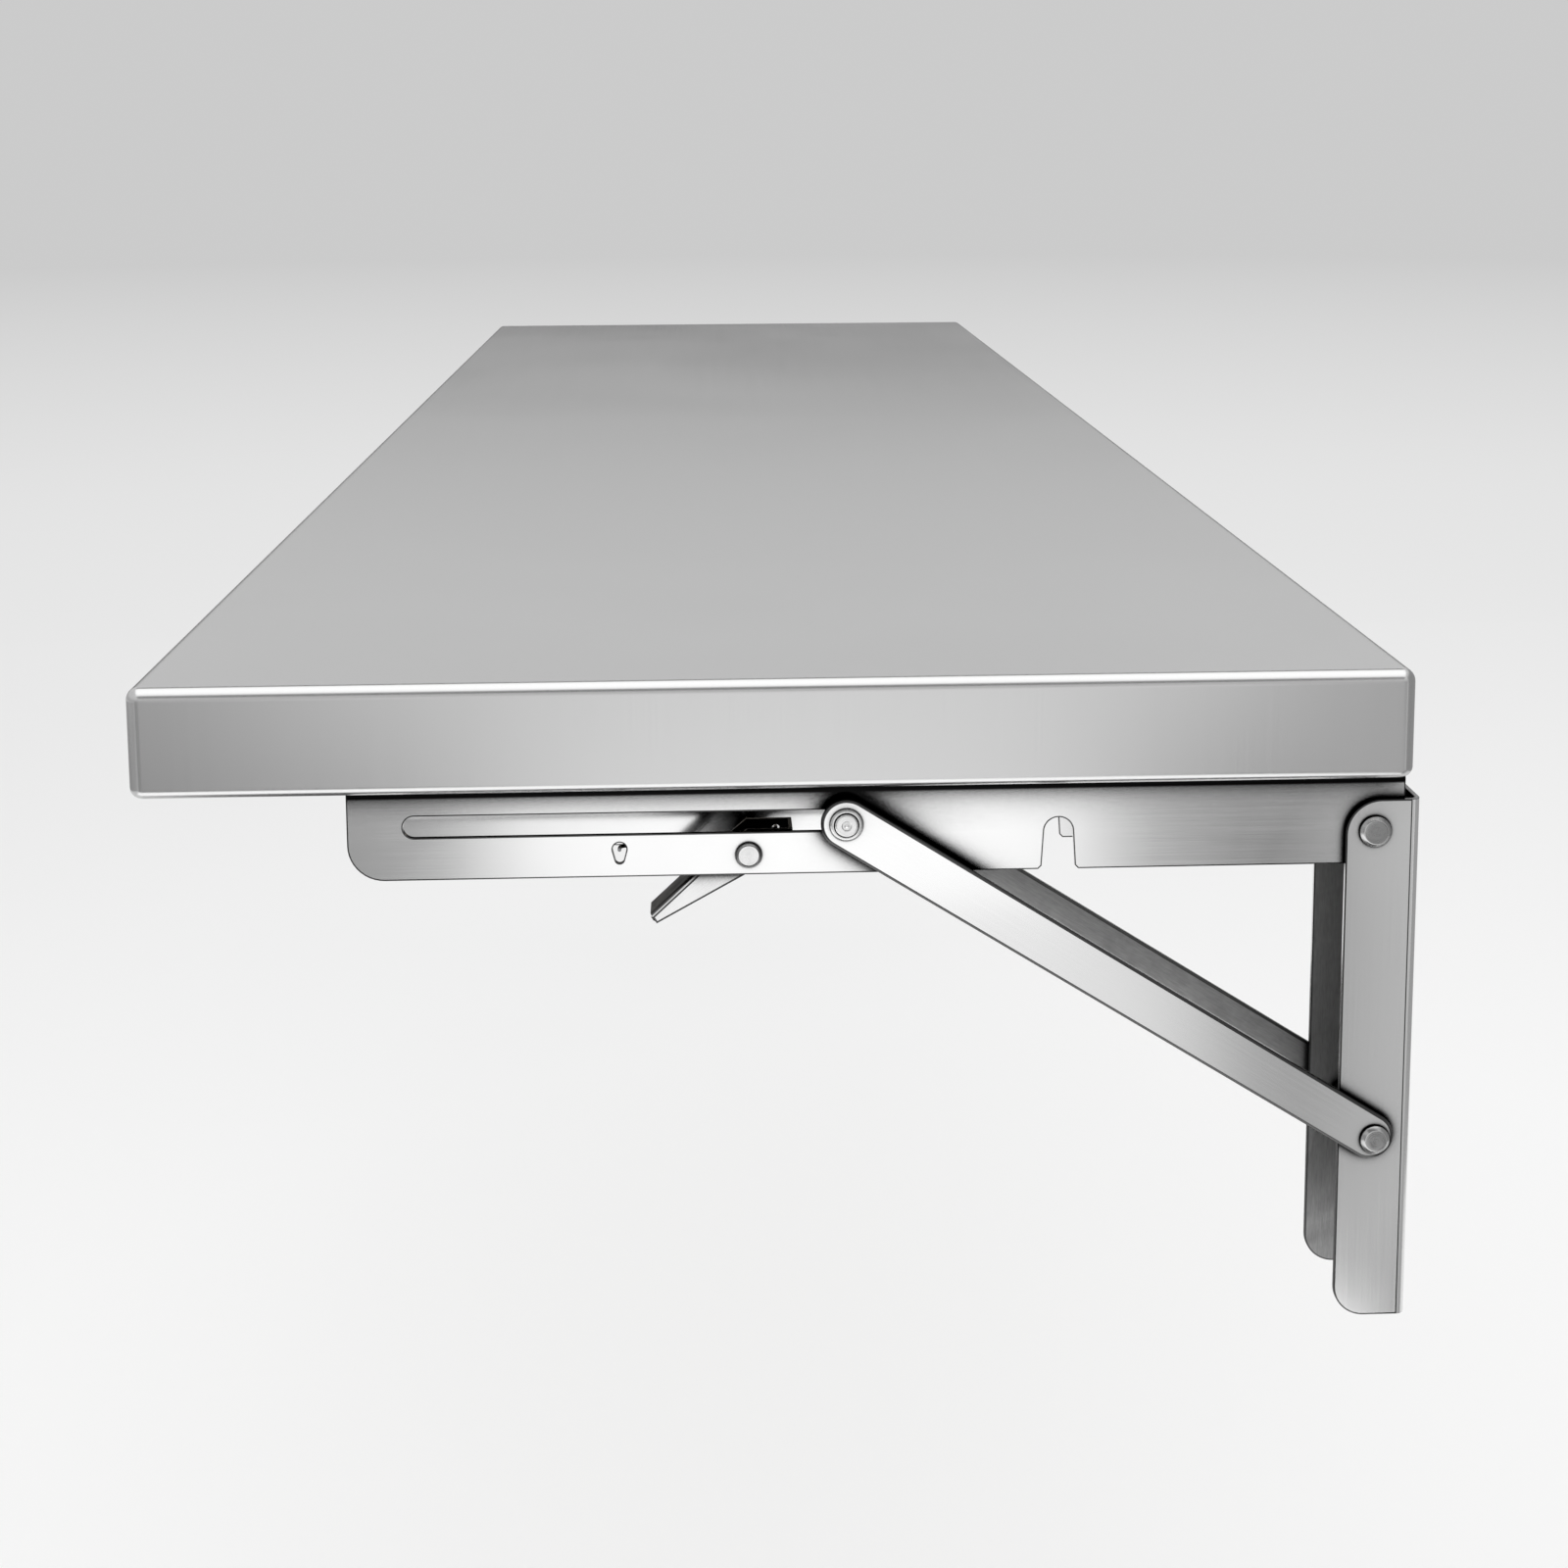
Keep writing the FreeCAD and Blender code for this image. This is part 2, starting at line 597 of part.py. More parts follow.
def at_latch(along, up):
    """A place given from the latch pin: along the arm away from the hinge, and up."""
    return f"latch_y - ({along})", f"latch_z + ({up})"


def latch_lever():
    """Folded lever: two cheeks, joined by a web at the nose and one along the paddle."""
    body = new_body("LatchLever", x="bracket_x + lever_aside")
    cheeks = outline(body, "LeverSide", "YZ_Plane", [
        at_latch("-nose_reach", "nose_rise"),
        at_latch("shoulder_reach", "nose_rise"),
        at_latch("paddle_start", "-paddle_start_drop"),
        at_latch("paddle_end", "-paddle_end_drop"),
        at_latch("tip_reach", "-tip_drop"),
        at_latch("-heel_reach", "-heel_drop"),
        at_latch("-nose_reach", "nose_rise - nose_drop"),
    ])
    pad(body, cheeks, "lever_width")
    past = "paddle_end + overrun"
    web = "-paddle_start_drop - paddle_web"
    inside = outline(body, "LeverInside", "YZ_Plane", [
        at_latch("-nose_reach + lever_sheet", "nose_rise + overrun"),
        at_latch("paddle_start", "nose_rise + overrun"),
        at_latch("paddle_start", web),
        at_latch(past, f"{web} - paddle_slope * ({past} - paddle_start)"),
        at_latch(past, "-tip_drop - overrun"),
        at_latch("-nose_reach + lever_sheet", "-tip_drop - overrun"),
    ])
    pocket(body, inside, "lever_inner")
    holes = rounds(body, "LeverHoles", "YZ_Plane", [
        (*at_latch("0", "0"), "latch_pin / 2 + running_gap"),
        (*at_latch("-hook_reach", "spring_radius"), "hook_hole / 2"),
    ])
    pocket(body, holes, "lever_width + 2 * overrun")
    keep("latch_lever_right", body)


def biarc(start, start_way, end, end_way):
    """Two arcs that join two places smoothly along the given unit directions."""
    chord = end - start
    ways = start_way + end_way
    bend = 2 * (1 - start_way.dot(end_way))
    reach = (math.sqrt(chord.dot(ways) ** 2 + bend * chord.dot(chord)) - chord.dot(ways)) / bend
    joint = (start + start_way * reach + end - end_way * reach) / 2
    return [arc_along(start, start_way, joint), arc_along(end, end_way * -1, joint)]


def arc_along(start, way, end):
    """The arc that leaves start along a unit direction and ends at end."""
    chord = end - start
    aside = chord - way * chord.dot(way)
    radius = chord.dot(chord) / (2 * aside.Length)
    centre = start + aside.normalize() * radius
    middle = centre + ((start + end) / 2 - centre).normalize() * radius
    return Part.Arc(start, middle, end).toShape()


def bent_leg(start, corner, end, radius):
    """A straight leg, a round bend near its corner and a straight end."""
    into = (corner - start).normalize()
    out = (end - corner).normalize()
    back = radius * math.tan(into.getAngle(out) / 2)
    bend_start = corner - into * back
    bend_end = corner + out * back
    return [
        Part.LineSegment(start, bend_start).toShape(),
        arc_along(bend_start, into, bend_end),
        Part.LineSegment(bend_end, end).toShape(),
    ]


def spring_path():
    """The latch spring's line from the lever to the arm, with the latch pin as its origin.

    The coil is counted in radians from its top and winds forwards along the arm. One leg leaves
    its top towards the hinge and hooks into the lever; the other runs out to the arm's hole.
    """
    radius = value("spring_radius")
    climb = value("spring_pitch") / (2 * math.pi)
    anchor = FreeCAD.Vector(0, -value("anchor_reach"), value("anchor_rise"))
    lean = math.asin(radius / anchor.Length) - math.atan2(anchor.z, -anchor.y)
    whole = 2 * math.pi * SPRING_TURNS + lean

    def on_coil(angle):
        aside = climb * (angle - whole / 2)
        return FreeCAD.Vector(aside, -radius * math.sin(angle), radius * math.cos(angle))

    def way(angle):
        line = FreeCAD.Vector(climb, -radius * math.cos(angle), -radius * math.sin(angle))
        return line.normalize()

    first, last = on_coil(0), on_coil(whole)
    hook = first + way(0) * (value("hook_reach") / way(0).y)
    hold = last + way(whole) * ((anchor.y - last.y) / way(whole).y)
    hook_end = FreeCAD.Vector(-value("lever_width / 2 + spring_ends"), hook.y, hook.z)
    hold_end = FreeCAD.Vector(value("arm_width / 2 + spring_ends - lever_aside"), hold.y, hold.z)
    edges = bent_leg(first, hook, hook_end, value("spring_bend"))[::-1]
    quarters = 4 * SPRING_TURNS
    for number in range(quarters):
        start, end = whole * number / quarters, whole * (number + 1) / quarters
        edges += biarc(on_coil(start), way(start), on_coil(end), way(end))
    edges += bent_leg(last, hold, hold_end, value("spring_bend"))
    print(f"latch spring least gap to itself {self_gap(edges):.2f} mm")
    return Part.Wire(Part.__sortEdges__(edges)), hook_end, X_AXIS


def self_gap(edges):
    """The least gap between stretches of the spring that lie over half a turn apart."""
    apart = math.pi * value("spring_radius")
    step = value("spring_wire") / 4
    points, travel, here = [], [], 0
    for edge in edges:
        count = max(int(edge.Length / step), 2)
        for number, point in enumerate(edge.discretize(count)):
            points.append(point)
            travel.append(here + edge.Length * number / (count - 1))
        here += edge.Length
    gaps = [one.distanceToPoint(other)
            for number, one in enumerate(points)
            for further, other in enumerate(points[:number])
            if travel[number] - travel[further] > apart]
    return min(gaps) - value("spring_wire")


def latch_spring():
    """Torsion spring round the latch pin, one unbroken wire with both of its ends hooked."""
    path, start, way = spring_path()
    section = Part.Wire(Part.makeCircle(value("spring_wire / 2"), start, way))
    shell = Part.BRepOffsetAPI.MakePipeShell(path)
    shell.add(section)
    shell.build()
    shell.makeSolid()
    spring = doc.addObject("Part::Feature", "LatchSpring")
    spring.Shape = shell.shape()
    place(spring, "bracket_x + lever_aside", "latch_y", "latch_z")
    keep("latch_spring_right", spring)


def arm_screws():
    """Screws up through the arm's web and the leaf's flange into the board."""
    screws = []
    for number in range(SCREW_COUNT):
        body = new_body(f"ArmScrew{number}", "bracket_x", screw_y(number), "under_z - arm_sheet")
        section = outline(body, "ScrewSection", "XZ_Plane", [
            ("0", "-screw_head_thick"),
            ("screw_head / 2 - head_chamfer", "-screw_head_thick"),
            ("screw_head / 2", "-screw_head_thick + head_chamfer"),
            ("screw_head / 2", "0"),
            ("screw_shank / 2", "0"),
            ("screw_shank / 2", "screw_length - screw_point"),
            ("0", "screw_length"),
        ])
        turned(body, section, "V_Axis")
        screws.append(body)
    keep("arm_screws_right", group("ArmScrews", screws))


def leaf_block(name, inset):
    """The leaf's block with its bends rounded, drawn in all round by an inset."""
    body = new_body(name, z="under_z + table_thickness / 2")
    side = f"table_length / 2 - {inset}"
    back = f"-wall_gap - {inset}"
    front = f"-wall_gap - table_depth + {inset}"
    plan = outline(body, f"{name}Plan", "XY_Plane", [
        (f"-({side})", front),
        (side, front),
        (side, back),
        (f"-({side})", back),
    ])
    block = pad(body, plan, f"table_thickness - 2 * {inset}")
    half = f"table_thickness / 2 - {inset}"
    corners = round_edges(body, block, f"pan_corner - {inset}",
                          *both_sides(side, y=front), *both_sides(side, y=back))
    top = round_edges(body, corners, f"pan_top_bend - {inset}", dict(z=half))
    round_edges(body, top, f"pan_bottom_bend - {inset}", dict(z=f"-({half})"))
    return body


def box(name, x, y, z, length, width, height):
    """A plain block from its lowest corner and its three sides."""
    block = doc.addObject("Part::Box", name)
    bind(block, Length=length, Width=width, Height=height)
    place(block, x, y, z)
    return block


def screw_bores():
    """The bores of all the arm screws, under both ends of the leaf."""
    bores = []
    for side in ("", "-"):
        for number in range(SCREW_COUNT):
            bore = doc.addObject("Part::Cylinder", "ScrewBore")
            bind(bore, Radius="screw_shank / 2 + running_gap", Height="screw_length + 2 * overrun")
            place(bore, f"{side}bracket_x", screw_y(number), "under_z - overrun")
            bores.append(bore)
    return group("ScrewBores", bores)


def leaf():
    """The folded pan with its return flange, and the board inside it."""
    bores = screw_bores()
    shell = boolean("Cut", "PanShell", leaf_block("PanOuter", "0"), leaf_block("PanInner", "pan_sheet"))
    window = box("PanWindow", "-table_length / 2 + return_width",
                 "-wall_gap - table_depth + return_width", "under_z - overrun",
                 "table_length - 2 * return_width", "table_depth - 2 * return_width",
                 "pan_sheet + 2 * overrun")
    open_pan = boolean("Cut", "OpenPan", shell, window)
    keep("top_pan", boolean("Cut", "TopPan", open_pan, bores))
    board = box("Board", "-table_length / 2 + core_inset",
                "-wall_gap - table_depth + core_inset", "under_z + pan_sheet",
                "table_length - 2 * core_inset", "table_depth - 2 * core_inset",
                "table_thickness - 2 * pan_sheet")
    keep("core_board", boolean("Cut", "CoreBoard", board, bores))


def mirror_bracket():
    """The left bracket, piece by piece the mirror image of the right one."""
    for label, piece in list(nodes.items()):
        if label.endswith("_right"):
            copy = doc.addObject("Part::Mirroring", f"Left{piece.Name}")
            copy.Source = piece
            copy.Normal = X_AXIS
            keep(label.replace("_right", "_left"), copy)


def write_parts():
    """Make sure that everything was built, then write each sub-part to its own file."""
    failed = [thing.Label for thing in doc.Objects if {"Invalid", "Error"} & set(thing.State)]
    broken = [label for label, piece in nodes.items()
              if piece.Shape.isNull() or not piece.Shape.isValid()]
    if failed or broken:
        raise RuntimeError(f"not built: {failed + broken}")
    os.makedirs("parts", exist_ok=True)
    for label, piece in nodes.items():
        piece.Shape.exportStep(f"parts/{label}.step")
        print(f"{label}: {len(piece.Shape.Solids)} solid, {piece.Shape.Volume:.0f} mm3")


fill_sheets()
leaf()
wall_channel()
arm_channel()
strut_bars()
pins()
eye_pieces()
latch_lever()
latch_spring()
arm_screws()
mirror_bracket()
write_parts()
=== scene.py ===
"""Looks of a wall mounted drop leaf table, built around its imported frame.

Lengths are metres in the frame's axes: +X along the wall, +Y into the wall, +Z up.
"""

from __future__ import annotations

import json
import logging
import math
from abc import ABC, abstractmethod
from dataclasses import dataclass, replace
from enum import Enum
from functools import cache
from typing import Callable, Iterable

import bmesh
import bpy
from mathutils import Matrix, Vector
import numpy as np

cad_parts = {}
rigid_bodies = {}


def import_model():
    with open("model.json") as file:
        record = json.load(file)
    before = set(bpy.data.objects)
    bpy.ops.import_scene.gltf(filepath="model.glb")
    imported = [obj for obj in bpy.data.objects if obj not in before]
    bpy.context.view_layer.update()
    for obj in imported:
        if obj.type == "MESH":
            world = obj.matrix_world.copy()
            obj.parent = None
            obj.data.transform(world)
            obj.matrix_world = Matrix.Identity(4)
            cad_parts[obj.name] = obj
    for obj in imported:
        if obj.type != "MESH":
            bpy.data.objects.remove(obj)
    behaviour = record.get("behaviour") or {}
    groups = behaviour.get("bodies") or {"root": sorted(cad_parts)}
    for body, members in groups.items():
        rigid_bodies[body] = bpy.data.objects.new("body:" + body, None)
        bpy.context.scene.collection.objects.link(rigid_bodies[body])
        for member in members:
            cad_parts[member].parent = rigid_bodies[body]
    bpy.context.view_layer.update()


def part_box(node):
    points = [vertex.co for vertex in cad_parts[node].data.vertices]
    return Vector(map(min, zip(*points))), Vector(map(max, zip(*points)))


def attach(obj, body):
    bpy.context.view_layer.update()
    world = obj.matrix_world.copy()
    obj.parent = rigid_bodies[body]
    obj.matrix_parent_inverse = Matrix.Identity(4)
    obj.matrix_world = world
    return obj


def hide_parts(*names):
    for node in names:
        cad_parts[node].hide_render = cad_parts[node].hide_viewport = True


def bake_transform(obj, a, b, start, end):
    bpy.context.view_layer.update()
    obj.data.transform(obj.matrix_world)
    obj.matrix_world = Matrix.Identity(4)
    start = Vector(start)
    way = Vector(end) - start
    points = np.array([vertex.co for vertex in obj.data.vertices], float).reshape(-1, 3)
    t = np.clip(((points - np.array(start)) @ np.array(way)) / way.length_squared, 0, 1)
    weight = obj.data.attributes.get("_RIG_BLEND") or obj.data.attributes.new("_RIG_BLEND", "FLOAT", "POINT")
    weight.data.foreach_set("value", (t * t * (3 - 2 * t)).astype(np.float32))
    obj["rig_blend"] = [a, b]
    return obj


log = logging.getLogger("drop_leaf_table")

Triple = tuple[float, float, float]
Tint = tuple[float, float, float, float]
Station = tuple[float, float]
Span = tuple[float, float]
Socket = bpy.types.NodeSocket
Tree = bpy.types.NodeTree
Material = bpy.types.Material
Piece = bpy.types.Object
Mesh = bmesh.types.BMesh
Face = bmesh.types.BMFace
Edge = bmesh.types.BMEdge
Feed = Socket | float | tuple[float, ...]
Feeds = dict[str | int, Feed]

GRAIN_MAP = "grain"
EDGE_MARK = "edge_mark"
MERGE = 1e-6
FULL_TURN = 2 * math.pi
MIX_SHARE, MIX_FIRST, MIX_SECOND, MIX_RESULT = 0, 6, 7, 2
LEAST_ROUGHNESS = 0.08
WHITE: Tint = (1.0, 1.0, 1.0, 1.0)
DEEP_SHADE: Tint = (0.004, 0.004, 0.004, 1.0)
ACROSS = Vector((1.0, 0.0, 0.0))
DEPTH = Vector((0.0, 1.0, 0.0))
UP = Vector((0.0, 0.0, 1.0))


def middle(node: str) -> Vector:
    """The middle of a frame node's box."""
    low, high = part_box(node)
    return (low + high) / 2


def toned(color: Triple, share: float = 1.0) -> Tint:
    """A colour made lighter or darker, as a shader takes it."""
    return (*(min(1.0, part * share) for part in color), 1.0)


class Side(Enum):
    """The two brackets, with the way each faces along the wall."""

    RIGHT = 1
    LEFT = -1

    @property
    def word(self) -> str:
        """The side as it stands in node names."""
        return self.name.lower()

    @property
    def middle(self) -> float:
        """Where the bracket's middle plane lies along X."""
        return middle(f"wall_channel_{self.word}").x


class Lay(Enum):
    """How the grinding lines run over a piece."""

    SHEET = "along the sheet and down its folded rims"
    STRAIGHT = "along one line"
    TURNED = "round an axis"


class Wiring:
    """Short calls for adding and joining the nodes of one tree."""

    def __init__(self, tree: Tree) -> None:
        """Empty the tree that is to be filled."""
        self.tree = tree
        tree.nodes.clear()

    @classmethod
    def of_material(cls, name: str) -> tuple[Material, Wiring]:
        """Start a new material.

        Args:
            name: The material's name.

        Returns:
            The material and the wiring of its tree.
        """
        made = bpy.data.materials.new(name)
        made.use_nodes = True
        return made, cls(made.node_tree)

    def add(self, kind: str, feeds: Feeds | None = None, **settings: object) -> bpy.types.Node:
        """Add a node.

        Args:
            kind: Blender's name of the node type.
            feeds: Input socket to a value, or to the socket it is joined to.
            settings: The node's own properties, which are set first.

        Returns:
            The new node.
        """
        made = self.tree.nodes.new(kind)
        for name, setting in settings.items():
            setattr(made, name, setting)
        for key, source in (feeds or {}).items():
            if isinstance(source, Socket):
                self.tree.links.new(source, made.inputs[key])
            else:
                made.inputs[key].default_value = source
        return made

    def place(self) -> Socket:
        """Where a point lies in its object's own axes."""
        return self.add("ShaderNodeTexCoord").outputs["Object"]

    def effect(self, tree: Tree, feeds: Feeds) -> bpy.types.NodeOutputs:
        """Place a shared effect and give its output sockets."""
        return self.add("ShaderNodeGroup", feeds, node_tree=tree).outputs

    def blend(self, share: Feed, first: Feed, second: Feed) -> Socket:
        """Mix two colours, with the share that the second one has."""
        feeds = {MIX_SHARE: share, MIX_FIRST: first, MIX_SECOND: second}
        return self.add("ShaderNodeMix", feeds, data_type="RGBA").outputs[MIX_RESULT]

    def sum(self, operation: str, first: Feed, second: Feed = 0.0, third: Feed = 0.0) -> Socket:
        """Work out one number by Blender's name of the operation."""
        feeds = {0: first, 1: second, 2: third}
        return self.add("ShaderNodeMath", feeds, operation=operation).outputs[0]

    def weigh(self, first: Feed, second: Feed, share: float) -> Socket:
        """Add up two numbers by the share that the first one has."""
        rest = self.sum("MULTIPLY", second, 1.0 - share)
        return self.sum("ADD", self.sum("MULTIPLY", first, share), rest)

    def spread(
        self, value: Feed, start: float, end: float, low: float = 0.0, high: float = 1.0, soft: bool = False
    ) -> Socket:
        """Spread one range of numbers over another.

        Args:
            value: The number.
            start: Where its range starts.
            end: Where its range ends.
            low: What the start turns into.
            high: What the end turns into.
            soft: Whether both ends are eased.

        Returns:
            The result's socket.
        """
        feeds = {0: value, 1: start, 2: end, 3: low, 4: high}
        kind = "SMOOTHSTEP" if soft else "LINEAR"
        return self.add("ShaderNodeMapRange", feeds, interpolation_type=kind).outputs[0]

    def noise(
        self, at: Socket, scale: Feed, detail: float, roughness: float = 0.5, distortion: float = 0.0,
        dimensions: str = "3D",
    ) -> Socket:
        """Add a noise texture.

        Args:
            at: Where it is looked up.
            scale: How fine it is.
            detail: How many finer layers it has.
            roughness: How strong those are.
            distortion: How far it is warped.
            dimensions: Blender's name of how many dimensions it has.

        Returns:
            The socket of its tone.
        """
        feeds = {
            "Vector": at, "Scale": scale, "Detail": detail, "Roughness": roughness, "Distortion": distortion,
        }
        return self.add("ShaderNodeTexNoise", feeds, noise_dimensions=dimensions).outputs[0]

    def bump(self, height: Socket, strength: float, depth: float) -> Socket:
        """Turn a height into a normal."""
        feeds = {"Strength": strength, "Distance": depth, "Height": height}
        return self.add("ShaderNodeBump", feeds).outputs[0]


class Effects:
    """Shader node groups that several finishes share, each built once."""

    @staticmethod
    def _start(
        name: str, takes: dict[str, str], gives: dict[str, str]
    ) -> tuple[Wiring, bpy.types.NodeOutputs]:
        """Open a new group.

        Args:
            name: The group's name.
            takes: Input names and socket kinds.
            gives: Output names and socket kinds.

        Returns:
            The group's wiring and the sockets of its inputs.
        """
        tree = bpy.data.node_groups.new(name, "ShaderNodeTree")
        for way, sockets in (("INPUT", takes), ("OUTPUT", gives)):
            for label, kind in sockets.items():
                tree.interface.new_socket(label, in_out=way, socket_type=f"NodeSocket{kind}")
        wiring = Wiring(tree)
        return wiring, wiring.add("NodeGroupInput").outputs

    @staticmethod
    @cache
    def brushed_grain() -> Tree:
        """Grinding lines: fine hairlines over broader streaks.

        Returns:
            The group, which gives a Tone from 0 to 1 and a Height.
        """
        wiring, takes = Effects._start(
            "brushed_grain",
            {"Lay": "Vector", "Lines Across": "Float", "Lines Along": "Float"},
            {"Tone": "Float", "Height": "Float"},
        )
        lay = wiring.add("ShaderNodeSeparateXYZ", {0: takes["Lay"]}).outputs
        layers = []
        for along, across, detail in ((1.0, 1.0, 4.0), (0.3, 0.4, 2.0)):
            run = wiring.sum("MULTIPLY", lay[0], takes["Lines Along"])
            side = wiring.sum("MULTIPLY", lay[1], takes["Lines Across"])
            scaled = {0: wiring.sum("MULTIPLY", run, along), 1: wiring.sum("MULTIPLY", side, across)}
            at = wiring.add("ShaderNodeCombineXYZ", scaled).outputs[0]
            layers.append(wiring.noise(at, 1.0, detail, roughness=0.6, dimensions="2D"))
        hairlines, streaks = layers
        tone = wiring.spread(wiring.weigh(hairlines, streaks, share=0.62), start=0.3, end=0.7)
        wiring.add("NodeGroupOutput", {"Tone": tone, "Height": hairlines})
        return wiring.tree

    @staticmethod
    @cache
    def handling_haze() -> Tree:
        """Faint clouds that wiping and handling leave on a surface.

        Returns:
            The group, which gives a Haze from 0 to 1.
        """
        wiring, takes = Effects._start(
            "handling_haze", {"Place": "Vector", "Size": "Float"}, {"Haze": "Float"}
        )
        scale = wiring.sum("DIVIDE", 1.0, takes["Size"])
        cloud = wiring.noise(takes["Place"], scale, detail=3.0, roughness=0.55, distortion=0.4)
        wiring.add("NodeGroupOutput", {"Haze": wiring.spread(cloud, start=0.34, end=0.68, soft=True)})
        return wiring.tree

    @staticmethod
    @cache
    def crevice() -> Tree:
        """The shade that gathers where pieces nearly touch.

        Returns:
            The group, which gives the shaded Color.
        """
        wiring, takes = Effects._start(
            "crevice", {"Color": "Color", "Deep": "Color", "Reach": "Float"}, {"Color": "Color"}
        )
        around = wiring.add("ShaderNodeAmbientOcclusion", {"Distance": takes["Reach"]}, samples=12)
        shade = wiring.spread(around.outputs["AO"], start=0.96, end=0.68, soft=True)
        wiring.add("NodeGroupOutput", {"Color": wiring.blend(shade, takes["Color"], takes["Deep"])})
        return wiring.tree

    @staticmethod
    @cache
    def joint_line() -> Tree:
        """A painted shadow: the dark line under a joint that little light gets into.

        Returns:
            The group, which gives the Color with the line.
        """
        wiring, takes = Effects._start(
            "joint_line",
            {"Color": "Color", "Deep": "Color", "Place": "Vector", "Height": "Float", "Width": "Float"},
            {"Color": "Color"},
        )
        up = wiring.add("ShaderNodeSeparateXYZ", {0: takes["Place"]}).outputs[2]
        below = wiring.sum("DIVIDE", wiring.sum("SUBTRACT", takes["Height"], up), takes["Width"])
        shade = wiring.spread(below, start=1.12, end=0.92, soft=True)
        wiring.add("NodeGroupOutput", {"Color": wiring.blend(shade, takes["Color"], takes["Deep"])})
        return wiring.tree

    @staticmethod
    @cache
    def worn_edge() -> Tree:
        """Edges with a painted tone, a dark outline of painted shade or a bright painted glint, and smoother
        where polished.

        Returns:
            The group, which gives the Color and Roughness with these edges.
        """
        wiring, takes = Effects._start(
            "worn_edge",
            {"Mask": "Float", "Color": "Color", "Edge": "Color", "Roughness": "Float", "Polish": "Float"},
            {"Color": "Color", "Roughness": "Float"},
        )
        color = wiring.blend(takes["Mask"], takes["Color"], takes["Edge"])
        smoother = wiring.sum("MULTIPLY", takes["Mask"], takes["Polish"])
        rough = wiring.sum("SUBTRACT", takes["Roughness"], smoother)
        rough = wiring.sum("MAXIMUM", rough, LEAST_ROUGHNESS)
        wiring.add("NodeGroupOutput", {"Color": color, "Roughness": rough})
        return wiring.tree


@dataclass(frozen=True)
class Finish(ABC):
    """A surface that pieces share, with the record's slot that it stands for."""

    name: str
    slot: str

    def material(self) -> Material:
        """Build the finish, or find it.

        Returns:
            The material.
        """
        if self.name in bpy.data.materials:
            return bpy.data.materials[self.name]
        made, wiring = Wiring.of_material(self.name)
        shader = wiring.add("ShaderNodeBsdfPrincipled", self.surface(wiring, wiring.place()))
        wiring.add("ShaderNodeOutputMaterial", {"Surface": shader.outputs[0]})
        return made

    @abstractmethod
    def surface(self, wiring: Wiring, place: Socket) -> Feeds:
        """Work out what the shader is fed.

        Args:
            wiring: The material's wiring.
            place: Where a point lies in its object.

        Returns:
            The shader's inputs and what goes into them.
        """


@dataclass(frozen=True)
class SteelFinish(Finish):
    """A ground or drawn steel surface whose lines follow the piece's grain map."""

    light: Triple
    dark: Triple
    roughness: float
    roughness_swing: float
    haze: float
    haze_size: float
    anisotropy: float
    lines_across: float
    lines_along: float
    line_depth: float
    bump: float
    stain: float = 0.0
    stain_tone: float = 0.35
    # Tone painted on marked edges as a share of the light tone: below 1 a dark outline of painted shade,
    # above 1 a painted glint.
    edge_tone: float = 0.1
    edge_polish: float = 0.05
    metallic: float = 1.0
    crevice_reach: float = 0.018
    # Height and width of a painted shadow line under a joint, if any.
    joint_height: float | None = None
    joint_width: float = 0.0036

    def surface(self, wiring: Wiring, place: Socket) -> Feeds:
        """Lay lines, haze, painted edge outlines and glints, the painted shade of crevices and any painted
        shadow line under a joint over the steel.

        Args:
            wiring: The material's wiring.
            place: Where a point lies in its object.

        Returns:
            The shader's inputs and what goes into them.
        """
        lay = wiring.add("ShaderNodeUVMap", uv_map=GRAIN_MAP).outputs[0]
        edge = wiring.add("ShaderNodeAttribute", attribute_name=EDGE_MARK).outputs["Fac"]
        lines = {"Lay": lay, "Lines Across": self.lines_across, "Lines Along": self.lines_along}
        grain = wiring.effect(Effects.brushed_grain(), lines)
        haze = wiring.effect(Effects.handling_haze(), {"Place": place, "Size": self.haze_size})["Haze"]
        color = wiring.blend(grain["Tone"], toned(self.dark), toned(self.light))
        stained = wiring.sum("MULTIPLY", haze, self.stain)
        color = wiring.blend(stained, color, toned(self.dark, self.stain_tone))
        smoothest = self.roughness - self.roughness_swing / 2
        rough = wiring.sum("MULTIPLY_ADD", grain["Tone"], self.roughness_swing, smoothest)
        rough = wiring.sum("MULTIPLY_ADD", haze, self.haze, rough)
        # Marked edges take a painted tone, a dark outline of painted shade or a painted glint; only their
        # smoother roughness is a real polish.
        rim = toned(self.light, self.edge_tone)
        edge_light = {"Mask": edge, "Color": color, "Edge": rim, "Roughness": rough, "Polish": self.edge_polish}
        edged = wiring.effect(Effects.worn_edge(), edge_light)
        shade = {"Color": edged["Color"], "Deep": DEEP_SHADE, "Reach": self.crevice_reach}
        color = wiring.effect(Effects.crevice(), shade)["Color"]
        # A painted shadow line darkens the steel just under the joint's height.
        if self.joint_height is not None:
            line = {"Height": self.joint_height, "Width": self.joint_width}
            line |= {"Color": color, "Deep": DEEP_SHADE, "Place": place}
            color = wiring.effect(Effects.joint_line(), line)["Color"]
        run = wiring.add("ShaderNodeTangent", direction_type="UV_MAP", uv_map=GRAIN_MAP)
        return {
            "Base Color": color,
            "Roughness": edged["Roughness"],
            "Normal": wiring.bump(grain["Height"], self.bump, self.line_depth),
            "Tangent": run.outputs[0],
            "Metallic": self.metallic,
            "Anisotropic": self.anisotropy,
        }


